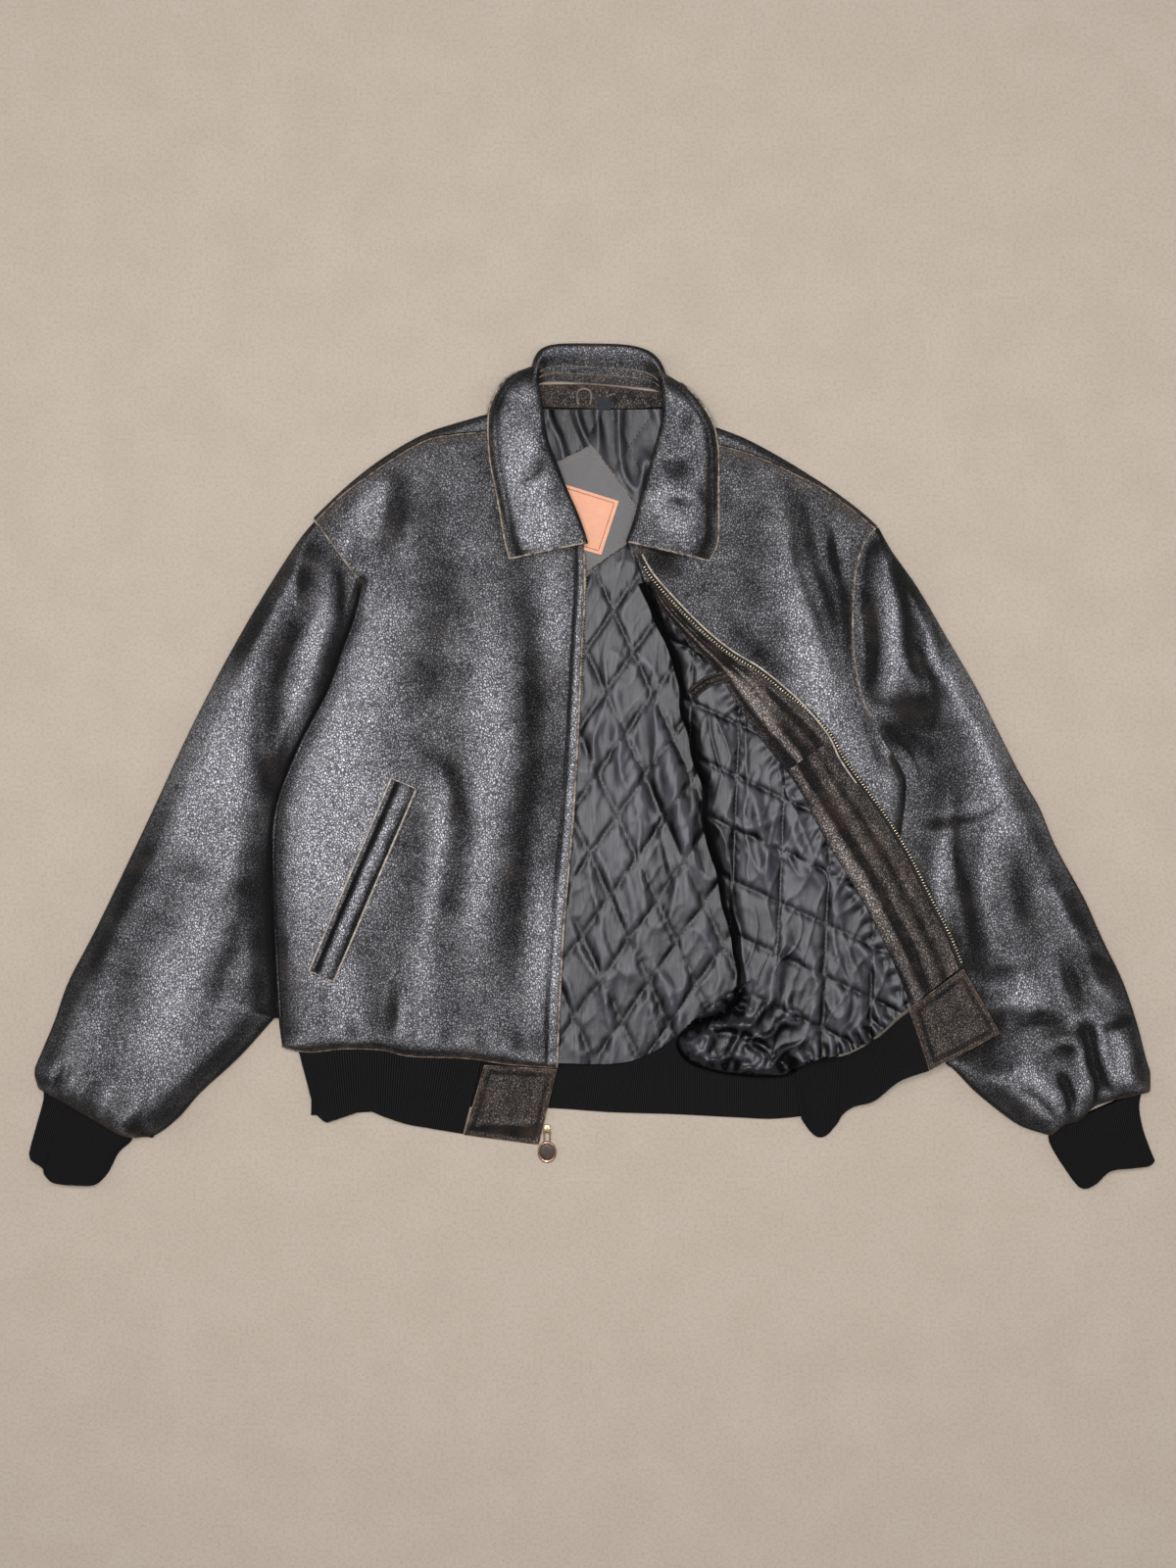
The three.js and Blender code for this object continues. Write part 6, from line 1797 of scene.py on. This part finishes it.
def rubbed_edges():
    """Pale edges where the turned leather is worn through."""
    leaves = collar_leaves(np.linspace(0.004, 0.996, 260), COLLAR_LEAF)
    right_leaf, left_leaf = (collar_path(leaf, 0, -0.7) for leaf in leaves)
    down = np.linspace(0, 0.5, 50)
    right_end, left_end = (collar_path(end, down, -0.6) for end in (0.003, 0.997))
    collar_edges = [np.vstack([right_end[::-1], right_leaf]), np.vstack([left_leaf, left_end])]
    place(tubes("collar_edges", collar_edges, COLLAR_EDGE_ROUND, EDGE), "shell")
    front = raised(front_edge.part(0.02, 1), right_front_height, -0.5)
    place(tubes("front_edge", [front], FRONT_EDGE_ROUND, EDGE), "shell")
    piping = zip_line.beside(lambda t: blend(0.8, 6, smooth(t, 0.34, 0.62))).part(0, 0.6)
    piping = raised(piping, turned_height, ZIP_CLOTH + PIPING_ROUND)
    place(tubes("zip_piping", [piping], PIPING_ROUND, PALE_EDGE), "facing")
    sides = [pocket_line.beside(d) for d in (-POCKET_WIDTH / 2 - 1, POCKET_WIDTH / 2 + 1)]
    ends = [Line([sides[0].at(t), sides[1].at(t)]) for t in (0, 1)]
    pocket_rim = [raised(line, right_front_height, POCKET_SEAT, 2) for line in sides + ends]
    place(tubes("pocket_edges", pocket_rim, POCKET_EDGE_ROUND, PALE_EDGE), "facing")
    seams = [raised(left_armhole.beside(-0.6).part(0, 0.8), chest_height, 0.3),
             raised(right_armhole.beside(0.6), right_front_height, 0.3)]
    place(tubes("armhole_edges", seams, SEAM_EDGE_ROUND, EDGE), "shell")
    shoulders = [raised(spline(RIGHT_SHOULDER_SEAM).beside(0.6), right_front_height, 0.2),
                 raised(spline(LEFT_SHOULDER_SEAM).beside(0.6), chest_height, 0.2)]
    hem = raised(right_hem, right_front_height, -0.5)
    place(tubes("dull_edges", shoulders + [hem], SEAM_EDGE_ROUND, DULL_EDGE), "shell")
    stand = [collar_path(np.linspace(0.37, 0.60, 60), v, 0.2) for v in (0.93, 0.88)]
    place(tubes("stand_seam", stand, STAND_SEAM_ROUND, DULL_EDGE), "shell")


def sewing(tab_paths, welt_paths):
    """Rows of stitches along the seams."""
    leaves = collar_leaves(np.linspace(0.02, 0.98, 300), COLLAR_LEAF + 0.01)
    rows = [collar_path(leaf, 0.085, 0.1) for leaf in leaves]
    for distance in SEAM_ROWS:
        rows.append(raised(spline(RIGHT_SHOULDER_SEAM).beside(distance), right_front_height, 0.1))
        rows.append(raised(spline(LEFT_SHOULDER_SEAM).beside(distance), chest_height, 0.1))
        rows.append(raised(left_armhole.beside(distance).part(0.03, 0.97), chest_height, 0.1))
    for distance in RIGHT_ARMHOLE_ROWS:
        rows.append(raised(right_armhole.beside(distance).part(0.05, 0.95), right_front_height, 0.1))
    strip_seam = front_edge.beside(lambda t: 1 + blend(*STRIP_WIDTH, t))
    rows.append(raised(strip_seam.part(0.02, 0.99), right_front_height, 0.2))
    rows.append(raised(pocket_line.beside(-POCKET_WIDTH / 2 - 4), right_front_height, 0.2))
    rows.append(raised(spline(POCKET_SEAM), right_front_height, 0.2))
    place(stitches("seam_stitches", rows, DARK_THREAD), "shell")
    place(stitches("trim_stitches", tab_paths + welt_paths, DARK_THREAD, TRIM_PITCH), "facing")


def build_jacket():
    back_panel()
    right_front()
    left_front()
    shoulder_strip("right", RIGHT_SHOULDER_SEAM, RIGHT_SHOULDER_FOLD)
    shoulder_strip("left", LEFT_SHOULDER_SEAM, LEFT_SHOULDER_FOLD)
    sleeve("right", spline(RIGHT_SLEEVE_TOP), spline(RIGHT_CUFF_LINE), spline(RIGHT_SLEEVE_OUTER),
           right_sleeve_inner, right_sleeve_height, right_armhole, RIGHT_SLEEVE_SHEEN)
    left_top_edge = Line([left_sleeve_inner.at(0), LEFT_SLEEVE_OUTER[0]])
    sleeve("left", left_top_edge, spline(LEFT_CUFF_LINE).part(1, 0), left_sleeve_inner,
           spline(LEFT_SLEEVE_OUTER), left_sleeve_height, left_sleeve_armhole, LEFT_SLEEVE_SHEEN)
    cuff("right", Line([RIGHT_CUFF_OUTER[0], RIGHT_CUFF_INNER[0]]), spline(RIGHT_CUFF_END),
         spline(RIGHT_CUFF_OUTER), spline(RIGHT_CUFF_INNER))
    cuff("left", Line([LEFT_CUFF_INNER[0], LEFT_CUFF_OUTER[0]]), spline(LEFT_CUFF_END).part(1, 0),
         spline(LEFT_CUFF_INNER), spline(LEFT_CUFF_OUTER))
    hem_ribs()
    right_tab = hem_tab("right", RIGHT_TAB, over_back, "hem_rib_back")
    left_tab = hem_tab("left", LEFT_TAB, turned_height, "left_sleeve_top")
    quilted = left_lining() + back_lining()
    place(stitches("quilting_stitches", quilted, DARK_THREAD, QUILT_PITCH), "lining")
    facing("left_facing_upper", 0, FACING_JOIN)
    facing("left_facing_lower", FACING_JOIN, 1)
    welts = inner_pocket_welt()
    pocket_piece("right_pocket_welt", 0, 0.74, 3.6)
    pocket_piece("right_pocket_jet", 0.82, 1, 1.6)
    collar()
    neck_facing()
    neck_pieces()
    zip_tapes()
    zip_slider()
    zip_pull()
    rubbed_edges()
    sewing([right_tab, left_tab], welts)


# Floor, light and camera, in metres
FLOOR_REACH = 4.0
CAMERA_HIGH = 2.4


def build_floor():
    bm = bmesh.new()
    bmesh.ops.create_grid(bm, x_segments=1, y_segments=1, size=FLOOR_REACH)
    floor = to_object("floor", bm, pale_floor())


def soft_light(name, stand, size, power):
    """A wide soft lamp that faces the jacket. Its stand and its size are in metres."""
    light = bpy.data.lights.new(name, "AREA")
    light.shape = "RECTANGLE"
    light.size, light.size_y = size
    light.energy = power
    light.color = (0.97, 0.98, 1)
    lamp = bpy.data.objects.new(name, light)
    lamp.location = stand
    toward = Vector((0, 0, 0)) - lamp.location
    lamp.rotation_mode = "QUATERNION"
    lamp.rotation_quaternion = toward.to_track_quat("-Z", "Y")
    bpy.context.scene.collection.objects.link(lamp)


def build_lights():
    soft_light("overhead", (-0.05, 0.15, 2.9), (1.6, 1.6), 94)
    soft_light("left_window", (-2.0, 0.5, 1.7), (0.5, 2.0), 13)
    soft_light("right_window", (2.0, 0.3, 1.7), (0.5, 2.0), 11)
    world = bpy.data.worlds.new("studio")
    world.use_nodes = True
    sky = world.node_tree.nodes["Background"].inputs
    sky["Color"].default_value = (0.94, 0.97, 1, 1)
    sky["Strength"].default_value = 0.07
    bpy.context.scene.world = world
    bpy.context.scene.view_settings.view_transform = "Standard"


def build_camera():
    """Straight above the jacket, over the middle of the photo's frame."""
    frame_height = PHOTO[1] * PIXEL * MM
    across, down = ((size / 2 - zero) * PIXEL * MM for size, zero in zip(PHOTO, PHOTO_ORIGIN))
    camera = bpy.data.cameras.new("camera")
    camera.lens = camera.sensor_width / 2 / (frame_height / 2 / CAMERA_HIGH)
    holder = bpy.data.objects.new("camera", camera)
    holder.location = (across, -down, CAMERA_HIGH)
    bpy.context.scene.collection.objects.link(holder)
    bpy.context.scene.camera = holder


build_jacket()
build_floor()
build_lights()
build_camera()
